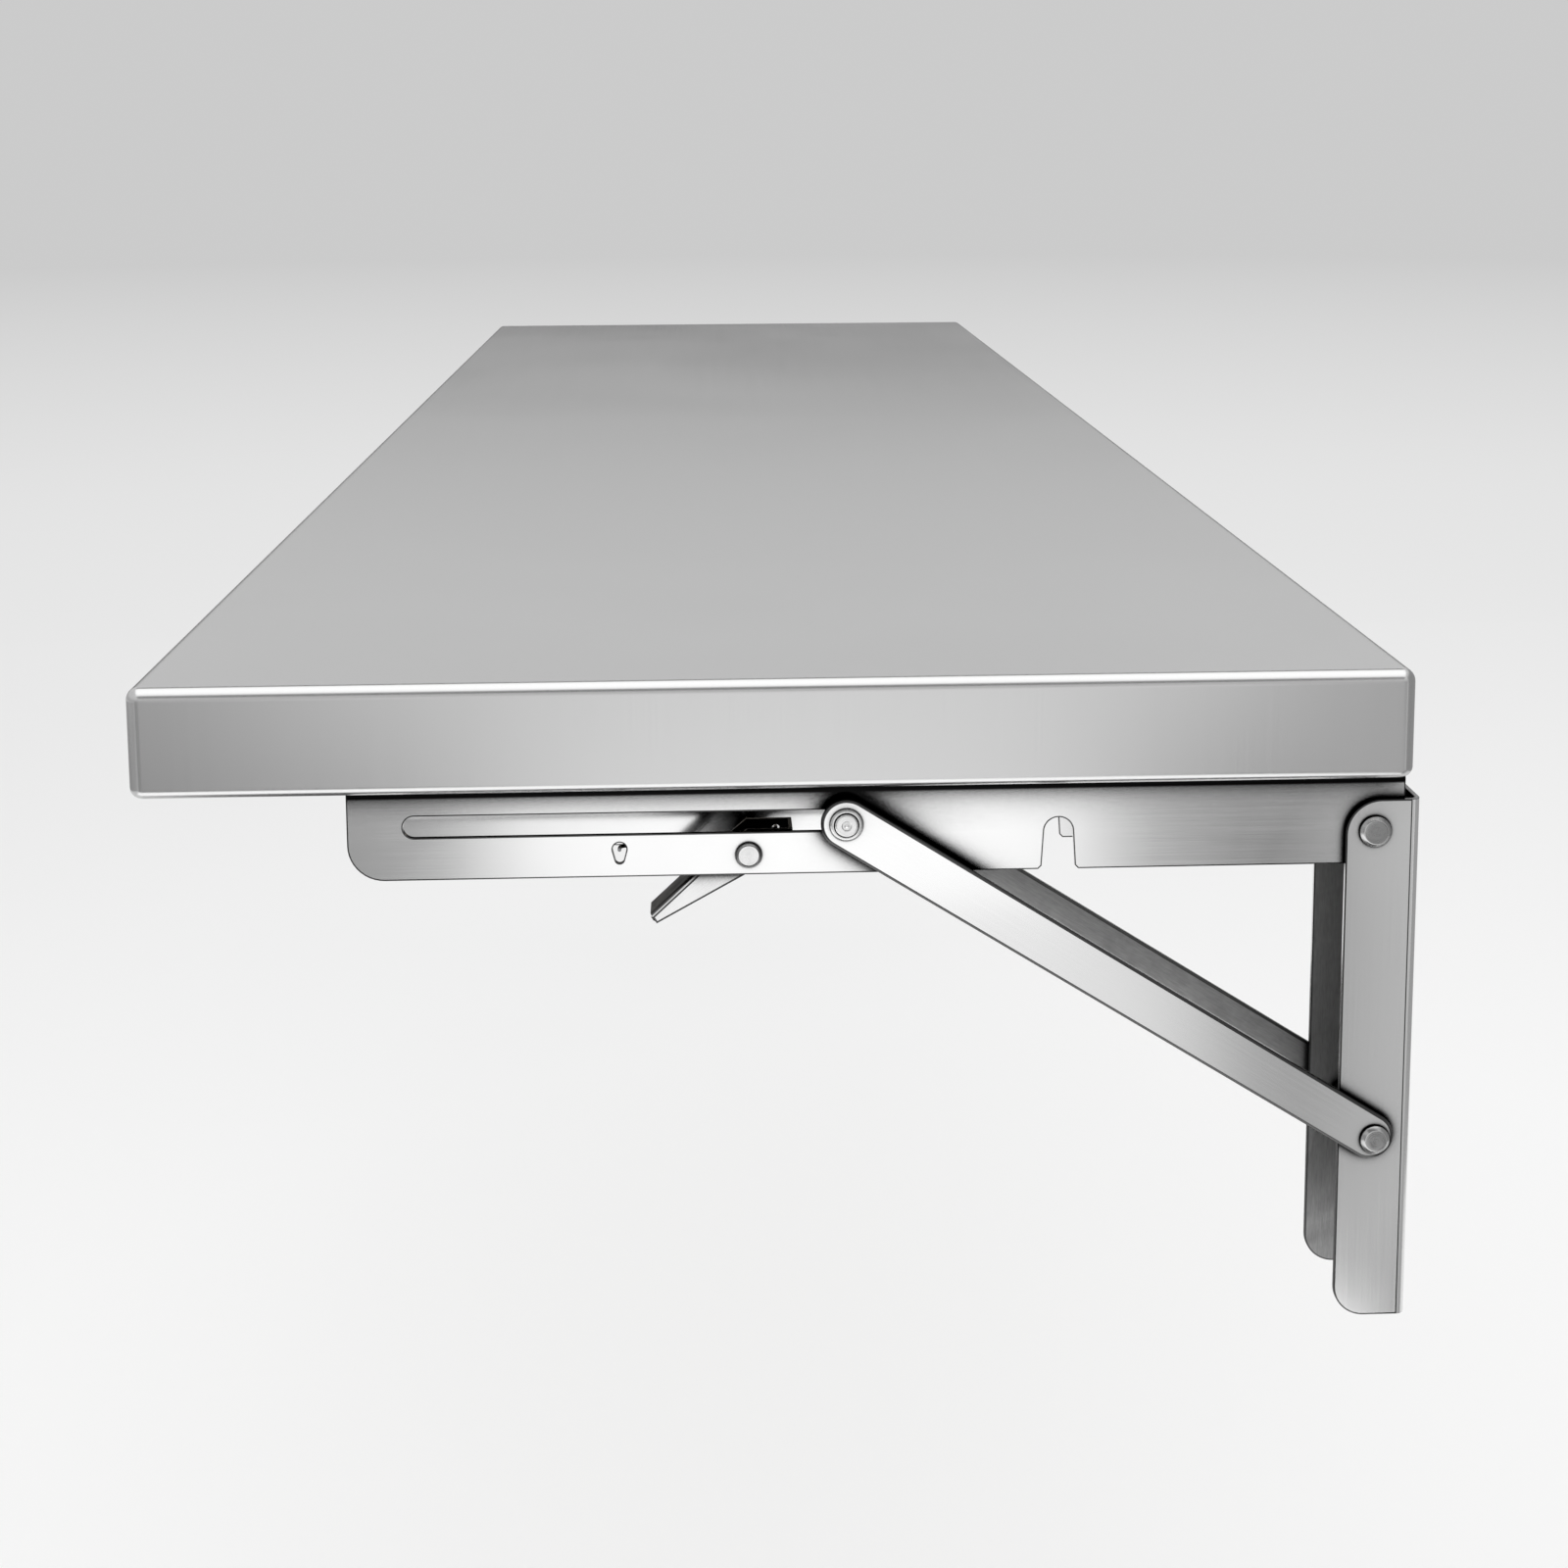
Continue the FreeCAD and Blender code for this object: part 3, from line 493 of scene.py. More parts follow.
@dataclass(frozen=True)
class ChipboardFinish(Finish):
    """Pressed wood chips: flakes of several tones under a sanded face."""

    name: str = "core_chipboard"
    slot: str = "board"
    pale: Triple = (0.55, 0.50, 0.43)
    deep: Triple = (0.33, 0.285, 0.23)
    flakes: float = 240.0
    flake_turn: Triple = (0.0, 0.0, 0.6)
    flake_stretch: Triple = (1.0, 0.35, 1.0)
    flake_share: float = 0.7
    fibres_per_flake: float = 3.0
    roughness: float = 0.72
    haze: float = 0.12
    haze_size: float = 0.09
    bump: float = 0.35
    chip_depth: float = 0.0002

    def surface(self, wiring: Wiring, place: Socket) -> Feeds:
        """Press flakes and fibres into a board.

        Args:
            wiring: The material's wiring.
            place: Where a point lies in its object.

        Returns:
            The shader's inputs and what goes into them.
        """
        laid = {"Vector": place, "Rotation": self.flake_turn, "Scale": self.flake_stretch}
        at = wiring.add("ShaderNodeMapping", laid).outputs[0]
        cells = {"Vector": at, "Scale": self.flakes, "Randomness": 1.0}
        flake = wiring.add("ShaderNodeTexVoronoi", cells).outputs["Color"]
        tone = wiring.add("ShaderNodeSeparateColor", {0: flake}).outputs[0]
        fibre = wiring.noise(place, self.flakes * self.fibres_per_flake, detail=4.0, roughness=0.6)
        mixed = wiring.weigh(tone, fibre, self.flake_share)
        haze = wiring.effect(Effects.handling_haze(), {"Place": place, "Size": self.haze_size})["Haze"]
        return {
            "Base Color": wiring.blend(mixed, toned(self.pale), toned(self.deep)),
            "Roughness": wiring.sum("MULTIPLY_ADD", haze, self.haze, self.roughness),
            "Normal": wiring.bump(mixed, self.bump, self.chip_depth),
        }


@dataclass(frozen=True)
class NylonFinish(Finish):
    """Moulded nylon, slightly uneven in tone and rubbed where it slides."""

    name: str = "washer_nylon"
    slot: str = "nylon"
    pale: Triple = (0.80, 0.79, 0.74)
    grey: Triple = (0.62, 0.61, 0.58)
    roughness: float = 0.38
    haze: float = 0.18
    haze_size: float = 0.004
    grain: float = 1800.0
    grain_depth: float = 0.00005
    bump: float = 0.2

    def surface(self, wiring: Wiring, place: Socket) -> Feeds:
        """Cloud the nylon and give it a fine grain.

        Args:
            wiring: The material's wiring.
            place: Where a point lies in its object.

        Returns:
            The shader's inputs and what goes into them.
        """
        haze = wiring.effect(Effects.handling_haze(), {"Place": place, "Size": self.haze_size})["Haze"]
        grain = wiring.noise(place, self.grain, detail=2.0)
        return {
            "Base Color": wiring.blend(haze, toned(self.pale), toned(self.grey)),
            "Roughness": wiring.sum("MULTIPLY_ADD", haze, self.haze, self.roughness),
            "Normal": wiring.bump(grain, self.bump, self.grain_depth),
        }


PAN_STEEL = SteelFinish(
    "pan_brushed_steel", "pan_steel", (0.56, 0.56, 0.56), (0.54, 0.54, 0.54),
    roughness=0.22, roughness_swing=0.03, haze=0.02, haze_size=0.25, anisotropy=0.4,
    lines_across=3200.0, lines_along=9.0, line_depth=0.00001, bump=0.02, edge_tone=1.18,
)
BRACKET_STEEL = SteelFinish(
    "bracket_satin_steel", "bracket_steel", (0.77, 0.77, 0.77), (0.74, 0.74, 0.74),
    roughness=0.12, roughness_swing=0.03, haze=0.03, haze_size=0.06, anisotropy=0.2,
    lines_across=3600.0, lines_along=30.0, line_depth=0.00001, bump=0.03,
)
# Inside faces: a rougher mill finish whose darker tone is painted shade.
MILL_AND_SHADE_STEEL = SteelFinish(
    "bracket_mill_steel", "bracket_steel", (0.38, 0.38, 0.38), (0.27, 0.27, 0.27),
    roughness=0.36, roughness_swing=0.1, haze=0.16, haze_size=0.014, anisotropy=0.2,
    lines_across=2600.0, lines_along=240.0, line_depth=0.00002, bump=0.1, stain=0.3, edge_tone=0.2,
    metallic=0.75, crevice_reach=0.005,
)
# The lever's web, bends and inner faces: the same steel painted near black as shade.
SHADED_WEB_STEEL = SteelFinish(
    "lever_web_steel", "lever_steel", (0.14, 0.14, 0.14), (0.08, 0.08, 0.08),
    roughness=0.34, roughness_swing=0.1, haze=0.14, haze_size=0.006, anisotropy=0.2,
    lines_across=2600.0, lines_along=60.0, line_depth=0.00003, bump=0.15, stain=0.3, edge_tone=0.3,
)
PIN_STEEL = SteelFinish(
    "pin_turned_steel", "pin_steel", (0.36, 0.36, 0.36), (0.24, 0.24, 0.24),
    roughness=0.24, roughness_swing=0.1, haze=0.1, haze_size=0.004, anisotropy=0.35,
    lines_across=5200.0, lines_along=140.0, line_depth=0.00003, bump=0.15, edge_tone=1.25,
)
RIVET_STEEL = SteelFinish(
    "rivet_bright_steel", "pin_steel", (0.78, 0.78, 0.78), (0.64, 0.64, 0.64),
    roughness=0.22, roughness_swing=0.1, haze=0.1, haze_size=0.004, anisotropy=0.3,
    lines_across=5200.0, lines_along=140.0, line_depth=0.00003, bump=0.15, edge_tone=0.3,
)
LEVER_STEEL = SteelFinish(
    "lever_satin_steel", "lever_steel", (0.8, 0.8, 0.8), (0.72, 0.72, 0.72),
    roughness=0.2, roughness_swing=0.08, haze=0.1, haze_size=0.012, anisotropy=0.25,
    lines_across=2600.0, lines_along=60.0, line_depth=0.00004, bump=0.2,
)
WIRE_STEEL = SteelFinish(
    "spring_drawn_wire", "spring_steel", (0.3, 0.3, 0.31), (0.15, 0.15, 0.155),
    roughness=0.32, roughness_swing=0.12, haze=0.12, haze_size=0.004, anisotropy=0.2,
    lines_across=9000.0, lines_along=120.0, line_depth=0.00002, bump=0.3,
)
SCREW_STEEL = SteelFinish(
    "screw_plated_steel", "screw_steel", (0.66, 0.66, 0.66), (0.5, 0.5, 0.5),
    roughness=0.3, roughness_swing=0.1, haze=0.12, haze_size=0.004, anisotropy=0.1,
    lines_across=4200.0, lines_along=200.0, line_depth=0.00003, bump=0.25,
)
CORE_BOARD = ChipboardFinish()
WASHER_NYLON = NylonFinish()


class Shaping:
    """Steps that every metal piece goes through between its raw mesh and its object."""

    FLAT_JOIN = math.radians(0.2)
    SHARP_CUT = math.radians(38)
    CRISP_SHEET = math.radians(40)
    FACING_SIDE = 0.999
    FACING_RIM = 0.72
    SHORTEST_RUN = 0.2
    LEAST_RADIUS = 1e-4

    @staticmethod
    def welded(node: str) -> Mesh:
        """Copy a frame node's mesh, weld it and join up its flat faces.

        Args:
            node: The frame node.

        Returns:
            The copy.
        """
        mesh = bmesh.new()
        mesh.from_mesh(bpy.data.objects[node].data)
        bmesh.ops.remove_doubles(mesh, verts=mesh.verts, dist=MERGE)
        bmesh.ops.dissolve_limit(
            mesh, angle_limit=Shaping.FLAT_JOIN, verts=mesh.verts, edges=mesh.edges
        )
        return mesh

    @staticmethod
    def bevel(mesh: Mesh, edges: list[Edge], width: float, steps: int) -> list[Face]:
        """Round some edges.

        Args:
            mesh: The mesh to work on.
            edges: The edges.
            width: How far the round runs in from an edge.
            steps: Faces round the bend.

        Returns:
            The faces of the rounds.
        """
        return bmesh.ops.bevel(
            mesh, geom=edges, offset=width, offset_type="OFFSET", affect="EDGES", segments=steps,
            profile=0.5, clamp_overlap=True, material=-1,
        )["faces"]

    @staticmethod
    def spin(mesh: Mesh, profile: Iterable[Vector], centre: Vector, axis: Vector, steps: int) -> None:
        """Spin a line of points once round an axis.

        Args:
            mesh: The mesh to add to.
            profile: The points.
            centre: A point on the axis.
            axis: The axis.
            steps: Faces round it.
        """
        points = [mesh.verts.new(point) for point in profile]
        lines = [mesh.edges.new(pair) for pair in zip(points, points[1:])]
        bmesh.ops.spin(
            mesh, geom=points + lines, cent=centre, axis=axis, angle=FULL_TURN, steps=steps, use_merge=True
        )

    @staticmethod
    def ease(mesh: Mesh, width: float) -> None:
        """Break the sharp edges and mark them for the painted edge tone.

        Args:
            mesh: The mesh to work on.
            width: How far the break runs in from the edge.
        """
        mark = mesh.faces.layers.float.new(EDGE_MARK)
        edges = [
            e for e in mesh.edges
            if len(e.link_faces) == 2 and e.calc_face_angle() > Shaping.SHARP_CUT
        ]
        for face in Shaping.bevel(mesh, edges, width, steps=2):
            face[mark] = 1.0

    @staticmethod
    def border(mesh: Mesh, width: float) -> None:
        """Set off a narrow strip along the cut edges of the flat sides and mark it for a painted dark
        outline.

        Args:
            mesh: The mesh to work on, with its edges marked.
            width: The strip's width.
        """
        mesh.normal_update()
        mark = mesh.faces.layers.float[EDGE_MARK]
        flat = [f for f in mesh.faces if abs(f.normal.x) > Shaping.FACING_SIDE]
        made = bmesh.ops.inset_region(
            mesh, faces=flat, thickness=width, use_even_offset=True, use_boundary=True
        )
        for face in made["faces"]:
            face[mark] = 1.0

    @staticmethod
    def lay_lines(mesh: Mesh, lay: Lay, along: Vector = ACROSS, centre: Vector | None = None) -> None:
        """Write the grain map: U runs along the grinding lines and V across them, in metres.

        Args:
            mesh: The mesh to work on.
            lay: How the lines run.
            along: Their direction, where they don't go round.
            centre: A point on the axis along X that they go round.
        """
        grain = mesh.loops.layers.uv.get(GRAIN_MAP) or mesh.loops.layers.uv.new(GRAIN_MAP)
        mesh.normal_update()
        for face in mesh.faces:
            if lay is Lay.TURNED:
                Shaping._round_lines(face, grain, centre)
                continue
            line = along
            if lay is Lay.SHEET and abs(face.normal.x) > Shaping.FACING_RIM:
                line = UP * -math.copysign(1.0, face.normal.x)
            run = line - face.normal * line.dot(face.normal)
            if run.length < Shaping.SHORTEST_RUN:
                run = face.normal.orthogonal()
            run.normalize()
            side = face.normal.cross(run)
            for loop in face.loops:
                loop[grain].uv = (loop.vert.co.dot(run), loop.vert.co.dot(side))

    @staticmethod
    def _round_lines(face: Face, grain: bmesh.types.BMLayerItem, centre: Vector) -> None:
        """Run one face's lines round an axis along X.

        Args:
            face: The face.
            grain: The grain map's layer.
            centre: A point on the axis.
        """
        inner = face.calc_center_median() - centre
        facing = math.atan2(inner.z, inner.y)
        radius = max(math.hypot(inner.y, inner.z), Shaping.LEAST_RADIUS)
        for loop in face.loops:
            off = loop.vert.co - centre
            turn = math.atan2(off.z, off.y) - facing
            turn = (turn + math.pi) % FULL_TURN - math.pi
            loop[grain].uv = ((facing + turn) * radius, off.x + math.hypot(off.y, off.z))

    @staticmethod
    def finished(
        mesh: Mesh, name: str, finish: Finish, body: str, nodes: Iterable[str], crisp: float = CRISP_SHEET
    ) -> Piece:
        """Turn a mesh into a dressed piece that rides on the frame.

        Args:
            mesh: The mesh, which is used up.
            name: The piece's name.
            finish: Its finish.
            body: The frame body it rides on, or nothing if the caller says how it moves.
            nodes: The frame nodes it stands for.
            crisp: Edges that turn by more than this stay crisp.

        Returns:
            The piece's object.
        """
        for face in mesh.faces:
            face.smooth = True
        for edge in mesh.edges:
            edge.smooth = len(edge.link_faces) == 2 and edge.calc_face_angle() < crisp
        data = bpy.data.meshes.new(name)
        mesh.to_mesh(data)
        mesh.free()
        stale = data.attributes.get("custom_normal")
        if stale:
            data.attributes.remove(stale)
        data.materials.clear()
        data.materials.append(finish.material())
        piece = bpy.data.objects.new(name, data)
        bpy.context.scene.collection.objects.link(piece)
        even = piece.modifiers.new("even_shading", "WEIGHTED_NORMAL")
        even.keep_sharp = True
        if body:
            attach(piece, body)
        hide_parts(*nodes)
        log.info("piece %s: %d faces, %s", name, len(data.polygons), finish.name)
        return piece

    @staticmethod
    def dressed(node: str, finish: Finish) -> Piece:
        """Give a frame node that stays a finish of its own.

        Args:
            node: The frame node.
            finish: Its finish.

        Returns:
            The node's object.
        """
        piece = bpy.data.objects[node]
        piece.data.materials.clear()
        piece.data.materials.append(finish.material())
        log.info("frame piece %s: %s", node, finish.name)
        return piece


@dataclass
class TurnedPin:
    """A pin or rivet, spun about a line along X from stations of distance and radius."""

    node: str
    body: str
    steps: int = 48
    crisp: float = math.radians(30)

    @property
    def centre(self) -> Vector:
        """The middle of the frame node that the pin stands for."""
        return middle(self.node)

    @property
    def half_length(self) -> float:
        """Half of that node's length along X."""
        low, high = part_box(self.node)
        return (high.x - low.x) / 2

    @property
    def head_radius(self) -> float:
        """The radius of that node's widest part."""
        low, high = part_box(self.node)
        return (high.z - low.z) / 2

    @staticmethod
    def mirrored(half: list[Station]) -> list[Station]:
        """The whole profile of a pin with two ends alike, from the half that ends it."""
        return [(-out, radius) for out, radius in reversed(half)] + half

    def spin(self, mesh: Mesh, stations: Iterable[Station], facing: float = 1.0) -> None:
        """Spin one closed profile into the mesh.

        Args:
            mesh: The mesh to add to.
            stations: Distance from the centre along X, and radius.
            facing: The way the distances count.
        """
        centre = self.centre
        profile = [centre + Vector((facing * out, 0.0, radius)) for out, radius in stations]
        Shaping.spin(mesh, profile, centre, ACROSS, self.steps)

    def dress(self, mesh: Mesh, finish: Finish) -> Piece:
        """Close the mesh and make it the piece.

        Args:
            mesh: The spun mesh.
            finish: The piece's finish.

        Returns:
            The piece's object.
        """
        bmesh.ops.remove_doubles(mesh, verts=mesh.verts, dist=MERGE)
        bmesh.ops.recalc_face_normals(mesh, faces=mesh.faces)
        Shaping.lay_lines(mesh, Lay.TURNED, centre=self.centre)
        return Shaping.finished(
            mesh, f"{self.node}_turned", finish, self.body, [self.node], self.crisp
        )


@dataclass
class Rivet(TurnedPin):
    """A pin with a chamfered, slightly dished head on each end.

    The dome's stations are shares of the head's thickness and of the chamfer.
    """

    shank: float = 0.003
    head: float = 0.0018
    chamfer: float = 0.0012
    finish: SteelFinish = PIN_STEEL
    lip: float = 0.00015
    dome: tuple[Station, ...] = ((0.4, 0.0), (0.52, 0.1), (0.9, 0.82), (1.0, 1.1))
    dish: float = 0.4
    dip: float = 0.02
    sloping: Span = (0.2, 0.93)

    def build(self) -> Piece:
        """Spin the rivet.

        Returns:
            The rivet's object.
        """
        end, wide, thick = self.half_length, self.head_radius, self.head
        seat = end - thick
        half = [(seat, self.shank), (seat, wide - self.lip), (seat + self.lip, wide)]
        half += [(seat + up * thick, wide - cut * self.chamfer) for up, cut in self.dome]
        half += [(end, self.dish * wide), (end - self.dip * thick, 0.0)]
        mesh = bmesh.new()
        self.spin(mesh, self.mirrored(half))
        mesh.normal_update()
        # The sloping chamfer faces are marked for a painted edge tone: a painted glint on the plain pins, a
        # painted dark ring of shade on the bright rivets.
        mark = mesh.faces.layers.float.new(EDGE_MARK)
        least, most = self.sloping
        for face in mesh.faces:
            face[mark] = float(least < abs(face.normal.x) < most)
        return self.dress(mesh, self.finish)


@dataclass
class EyeRivets(TurnedPin):
    """The two rivets in the strut's eyes: a broad ring round a raised, peened button.

    The stations of edges and groove are offsets from the corner of the ring or button, and those of
    the dent are depths and shares of the button's radius.
    """

    bar: float = 0.0022
    shank: float = 0.003
    lip: float = 0.00012
    ring: float = 0.0009
    ring_side: float = 0.55
    ring_edge: tuple[Station, ...] = ((-0.0001, -0.00035), (0.0, -0.0006))
    groove: tuple[Station, ...] = ((0.0, 0.0004), (-0.00025, 0.0001), (-0.00025, 0.0))
    button: float = 0.0008
    button_radius: float = 0.00365
    button_side: float = 0.5
    button_edge: tuple[Station, ...] = ((-0.0001, -0.0003), (0.0, -0.0006))
    dent: tuple[Station, ...] = ((0.0, 0.45), (-0.0002, 0.36), (-0.0002, 0.2), (-0.00005, 0.1), (0.0, 0.0))

    def build(self) -> Piece:
        """Spin both rivets.

        Returns:
            Their object.
        """
        end, wide, knob = self.half_length, self.head_radius, self.button_radius
        top = end - self.button
        seat = top - self.ring
        inner = seat - self.bar
        stations = [
            (inner, 0.0), (inner, self.shank), (seat, self.shank), (seat, wide - self.lip),
            (seat + self.lip, wide), (seat + self.ring_side * self.ring, wide),
            *((top + out, wide + off) for out, off in self.ring_edge),
            *((top + out, knob + off) for out, off in self.groove),
            (top + self.button_side * self.button, knob),
            *((end + out, knob + off) for out, off in self.button_edge),
            *((end + out, share * knob) for out, share in self.dent),
        ]
        mesh = bmesh.new()
        for facing in (1.0, -1.0):
            self.spin(mesh, stations, facing)
        return self.dress(mesh, RIVET_STEEL)


@dataclass
class SlidePin(TurnedPin):
    """The plain cross pin, chamfered at its ends."""

    chamfer: float = 0.0006
    end_run: float = 0.006

    def build(self) -> Piece:
        """Spin the pin.

        Returns:
            The pin's object.
        """
        end, wide, cut = self.half_length, self.head_radius, self.chamfer
        half = [(end - self.end_run, wide), (end - cut, wide), (end, wide - cut), (end, 0.0)]
        mesh = bmesh.new()
        self.spin(mesh, self.mirrored(half))
        return self.dress(mesh, PIN_STEEL)


@dataclass
class SheetPart:
    """A stamped sheet part: the frame's own shape with its cut edges eased and ground lines laid on."""

    node: str
    body: str
    finish: SteelFinish
    along: Vector
    middle: float
    edge: float = 0.0005
    mill: SteelFinish | None = None
    rim: float = 0.0004
    facing_in: float = 0.5

    def build(self) -> Piece:
        """Shape and dress the part.

        Returns:
            The part's object.
        """
        mesh = Shaping.welded(self.node)
        self.fold(mesh)
        Shaping.ease(mesh, self.edge)
        Shaping.border(mesh, self.rim)
        Shaping.lay_lines(mesh, Lay.STRAIGHT, self.along)
        inside = [int(self._inside(face)) for face in mesh.faces]
        piece = Shaping.finished(mesh, f"{self.node}_sheet", self.finish, self.body, [self.node])
        # Faces inside the bracket get the mill finish, darkened as painted shade.
        if self.mill:
            piece.data.materials.append(self.mill.material())
            piece.data.polygons.foreach_set("material_index", inside)
            log.info("mill finish on %d faces of %s", sum(inside), self.node)
        return piece

    def fold(self, mesh: Mesh) -> None:
        """Change the frame's shape before its edges are eased; a plain part keeps it."""

    def _inside(self, face: Face) -> bool:
        """Tell whether a face looks at the bracket's middle plane and so gets the mill finish, painted
        darker as shade.
        """
        off = face.calc_center_median().x - self.middle
        return face.normal.x * off < -self.facing_in * abs(off)


@dataclass
class Leaf:
    """The table top: a folded steel pan over a board core."""

    body: str = "leaf"
    corner: float = 0.005
    corner_steps: int = 8
    top_bend: float = 0.004
    top_steps: int = 7
    low_bend: float = 0.0035
    low_steps: int = 6
    flange: float = 0.052
    sheet: float = 0.001

    def build(self) -> None:
        """Build the pan and dress the board."""
        self.pan()
        Shaping.dressed("core_board", CORE_BOARD)

    def pan(self) -> Piece:
        """Fold the pan from a block: round corners and bends, and an opening inside the return flange.

        Returns:
            The pan's object.
        """
        low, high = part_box("top_pan")
        mesh = bmesh.new()
        block = Matrix.LocRotScale((low + high) / 2, None, high - low)
        bmesh.ops.create_cube(mesh, size=1.0, matrix=block)
        for wanted, radius, steps in (
            (lambda one, other: abs(one.z - other.z) > self.sheet, self.corner, self.corner_steps),
            (lambda one, other: min(one.z, other.z) > high.z - MERGE, self.top_bend, self.top_steps),
            (lambda one, other: max(one.z, other.z) < low.z + MERGE, self.low_bend, self.low_steps),
        ):
            self._round(mesh, wanted, radius, steps)
        self._open_underside(mesh, low, high)
        Shaping.lay_lines(mesh, Lay.SHEET)
        piece = Shaping.finished(mesh, "leaf_pan", PAN_STEEL, self.body, ["top_pan"])
        wall = piece.modifiers.new("sheet", "SOLIDIFY")
        wall.thickness = self.sheet
        wall.offset = -1.0
        wall.use_even_offset = True
        # The sheet gets its thickness before its shading is evened out.
        piece.modifiers.move(1, 0)
        return piece

    @staticmethod
    def _round(mesh: Mesh, wanted: Callable[[Vector, Vector], bool], radius: float, steps: int) -> None:
        """Round the edges whose two ends pass a test."""
        edges = [e for e in mesh.edges if wanted(e.verts[0].co, e.verts[1].co)]
        Shaping.bevel(mesh, edges, radius, steps)

    @staticmethod
    def _underside(mesh: Mesh, low: Vector) -> list[Face]:
        """The faces that lie at the lowest corner's height."""
        return [f for f in mesh.faces if max(v.co.z for v in f.verts) < low.z + MERGE]

    def _open_underside(self, mesh: Mesh, low: Vector, high: Vector) -> None:
        """Cut the opening that the return flange leaves under the pan.

        Args:
            mesh: The closed block.
            low: Its lowest corner.
            high: Its highest corner.
        """
        inset = Vector((self.flange, self.flange, 0.0))
        for facing in (ACROSS, DEPTH):
            for at in (low + inset, high - inset):
                faces = self._underside(mesh, low)
                cut = dict.fromkeys(part for f in faces for part in (f, *f.edges, *f.verts))
                bmesh.ops.bisect_plane(mesh, geom=list(cut), dist=MERGE, plane_co=at, plane_no=facing)
        centre = (low + high) / 2
        opening = [
            f for f in self._underside(mesh, low)
            if (f.calc_center_median() - centre).xy.length < self.flange
        ]
        bmesh.ops.delete(mesh, geom=opening, context="FACES")


@dataclass
class WallChannel:
    """The upright channel on the wall with the hinge pin at its top."""

    side: Side
    body: str = "wall_mounts"

    def build(self) -> None:
        """Build the channel and its pin."""
        word = self.side.word
        node = f"wall_channel_{word}"
        SheetPart(node, self.body, BRACKET_STEEL, UP, self.side.middle, mill=MILL_AND_SHADE_STEEL).build()
        Rivet(f"hinge_pin_{word}", self.body).build()


@dataclass(frozen=True)
class CrossScrew:
    """A screw with a domed head and a cross recess, which points up.

    The dome's stations are shares of the head's radius and heights above its face.
    """

    head: float = 0.004
    head_thick: float = 0.0024
    dome: tuple[Station, ...] = ((0.62, 0.0), (0.82, 0.00025), (0.95, 0.0008), (1.0, 0.0016))
    shank: float = 0.002
    point: float = 0.003
    tip: float = 0.0006
    tip_share: float = 0.35
    recess: float = 0.0017
    recess_width: float = 0.00045
    recess_depth: float = 0.0012
    steps: int = 24

    def add(self, mesh: Mesh, foot: Vector, length: float) -> None:
        """Add one screw.

        Args:
            mesh: The mesh to add to.
            foot: The middle of its head's face.
            length: Its whole length.
        """
        stations = [(share * self.head, up) for share, up in self.dome]
        stations += [
            (self.head, self.head_thick), (self.shank, self.head_thick), (self.shank, length - self.point),
            (self.tip_share * self.shank, length - self.tip), (0.0, length),
        ]
        profile = [foot + Vector((radius, 0.0, up)) for radius, up in stations]
        Shaping.spin(mesh, profile, foot, UP, self.steps)
        bmesh.ops.remove_doubles(mesh, verts=mesh.verts, dist=MERGE)
        self._sink_cross(mesh, foot)

    def _sink_cross(self, mesh: Mesh, foot: Vector) -> None:
        """Close the head's face with a sunken cross.

        Args:
            mesh: The mesh, whose only open rim is the head's.
            foot: The middle of the head's face.
        """
        rim = [e for e in mesh.edges if e.is_boundary]
        grid = bmesh.ops.create_grid(
            mesh, x_segments=3, y_segments=3, size=self.recess, matrix=Matrix.Translation(foot)
        )["verts"]
        for vert in grid:
            for axis in (0, 1):
                off = vert.co[axis] - foot[axis]
                if abs(off) < 0.5 * self.recess:
                    vert.co[axis] = foot[axis] + math.copysign(self.recess_width, off)
        cells = dict.fromkeys(f for v in grid for f in v.link_faces)
        border = [e for f in cells for e in f.edges if e.is_boundary]
        cross = [
            f for f in cells
            if min(abs(off) for off in (f.calc_center_median() - foot).xy) < self.recess_width
        ]
        bmesh.ops.subdivide_edges(mesh, edges=border, cuts=1)
        border = [e for e in mesh.edges if e.is_boundary and e not in rim]
        bmesh.ops.bridge_loops(mesh, edges=rim + border)
        raised = bmesh.ops.extrude_face_region(mesh, geom=cross)["geom"]
        moved = [part for part in raised if isinstance(part, bmesh.types.BMVert)]
        bmesh.ops.translate(mesh, verts=moved, vec=UP * self.recess_depth)
        bmesh.ops.delete(mesh, geom=[f for f in cross if f.is_valid], context="FACES_ONLY")


@dataclass
class Arm:
    """The slotted arm under the leaf and the screws that hold it."""

    side: Side
    body: str = "leaf"
    screw: CrossScrew = CrossScrew()
    crisp: float = math.radians(32)

    def build(self) -> None:
        """Build the arm and its screws."""
        node = f"arm_channel_{self.side.word}"
        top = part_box(node)[1].z
        # The arm gets a painted shadow line just under its top, where the pan's rim hangs over it.
        finish = replace(BRACKET_STEEL, name="arm_satin_steel", joint_height=top)
        SheetPart(node, self.body, finish, DEPTH, self.side.middle).build()
        self.screws()

    def screws(self) -> Piece:
        """Make the row of cross recessed screws.

        Returns:
            Their object.
        """
        node = f"arm_screws_{self.side.word}"
        low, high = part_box(node)
        centre = (low + high) / 2
        mesh = bmesh.new()
        for y in (low.y + self.screw.head, centre.y, high.y - self.screw.head):
            self.screw.add(mesh, Vector((centre.x, y, low.z)), high.z - low.z)
        bmesh.ops.recalc_face_normals(mesh, faces=mesh.faces)
        Shaping.lay_lines(mesh, Lay.STRAIGHT)
        return Shaping.finished(mesh, f"{node}_crossed", SCREW_STEEL, self.body, [node], self.crisp)


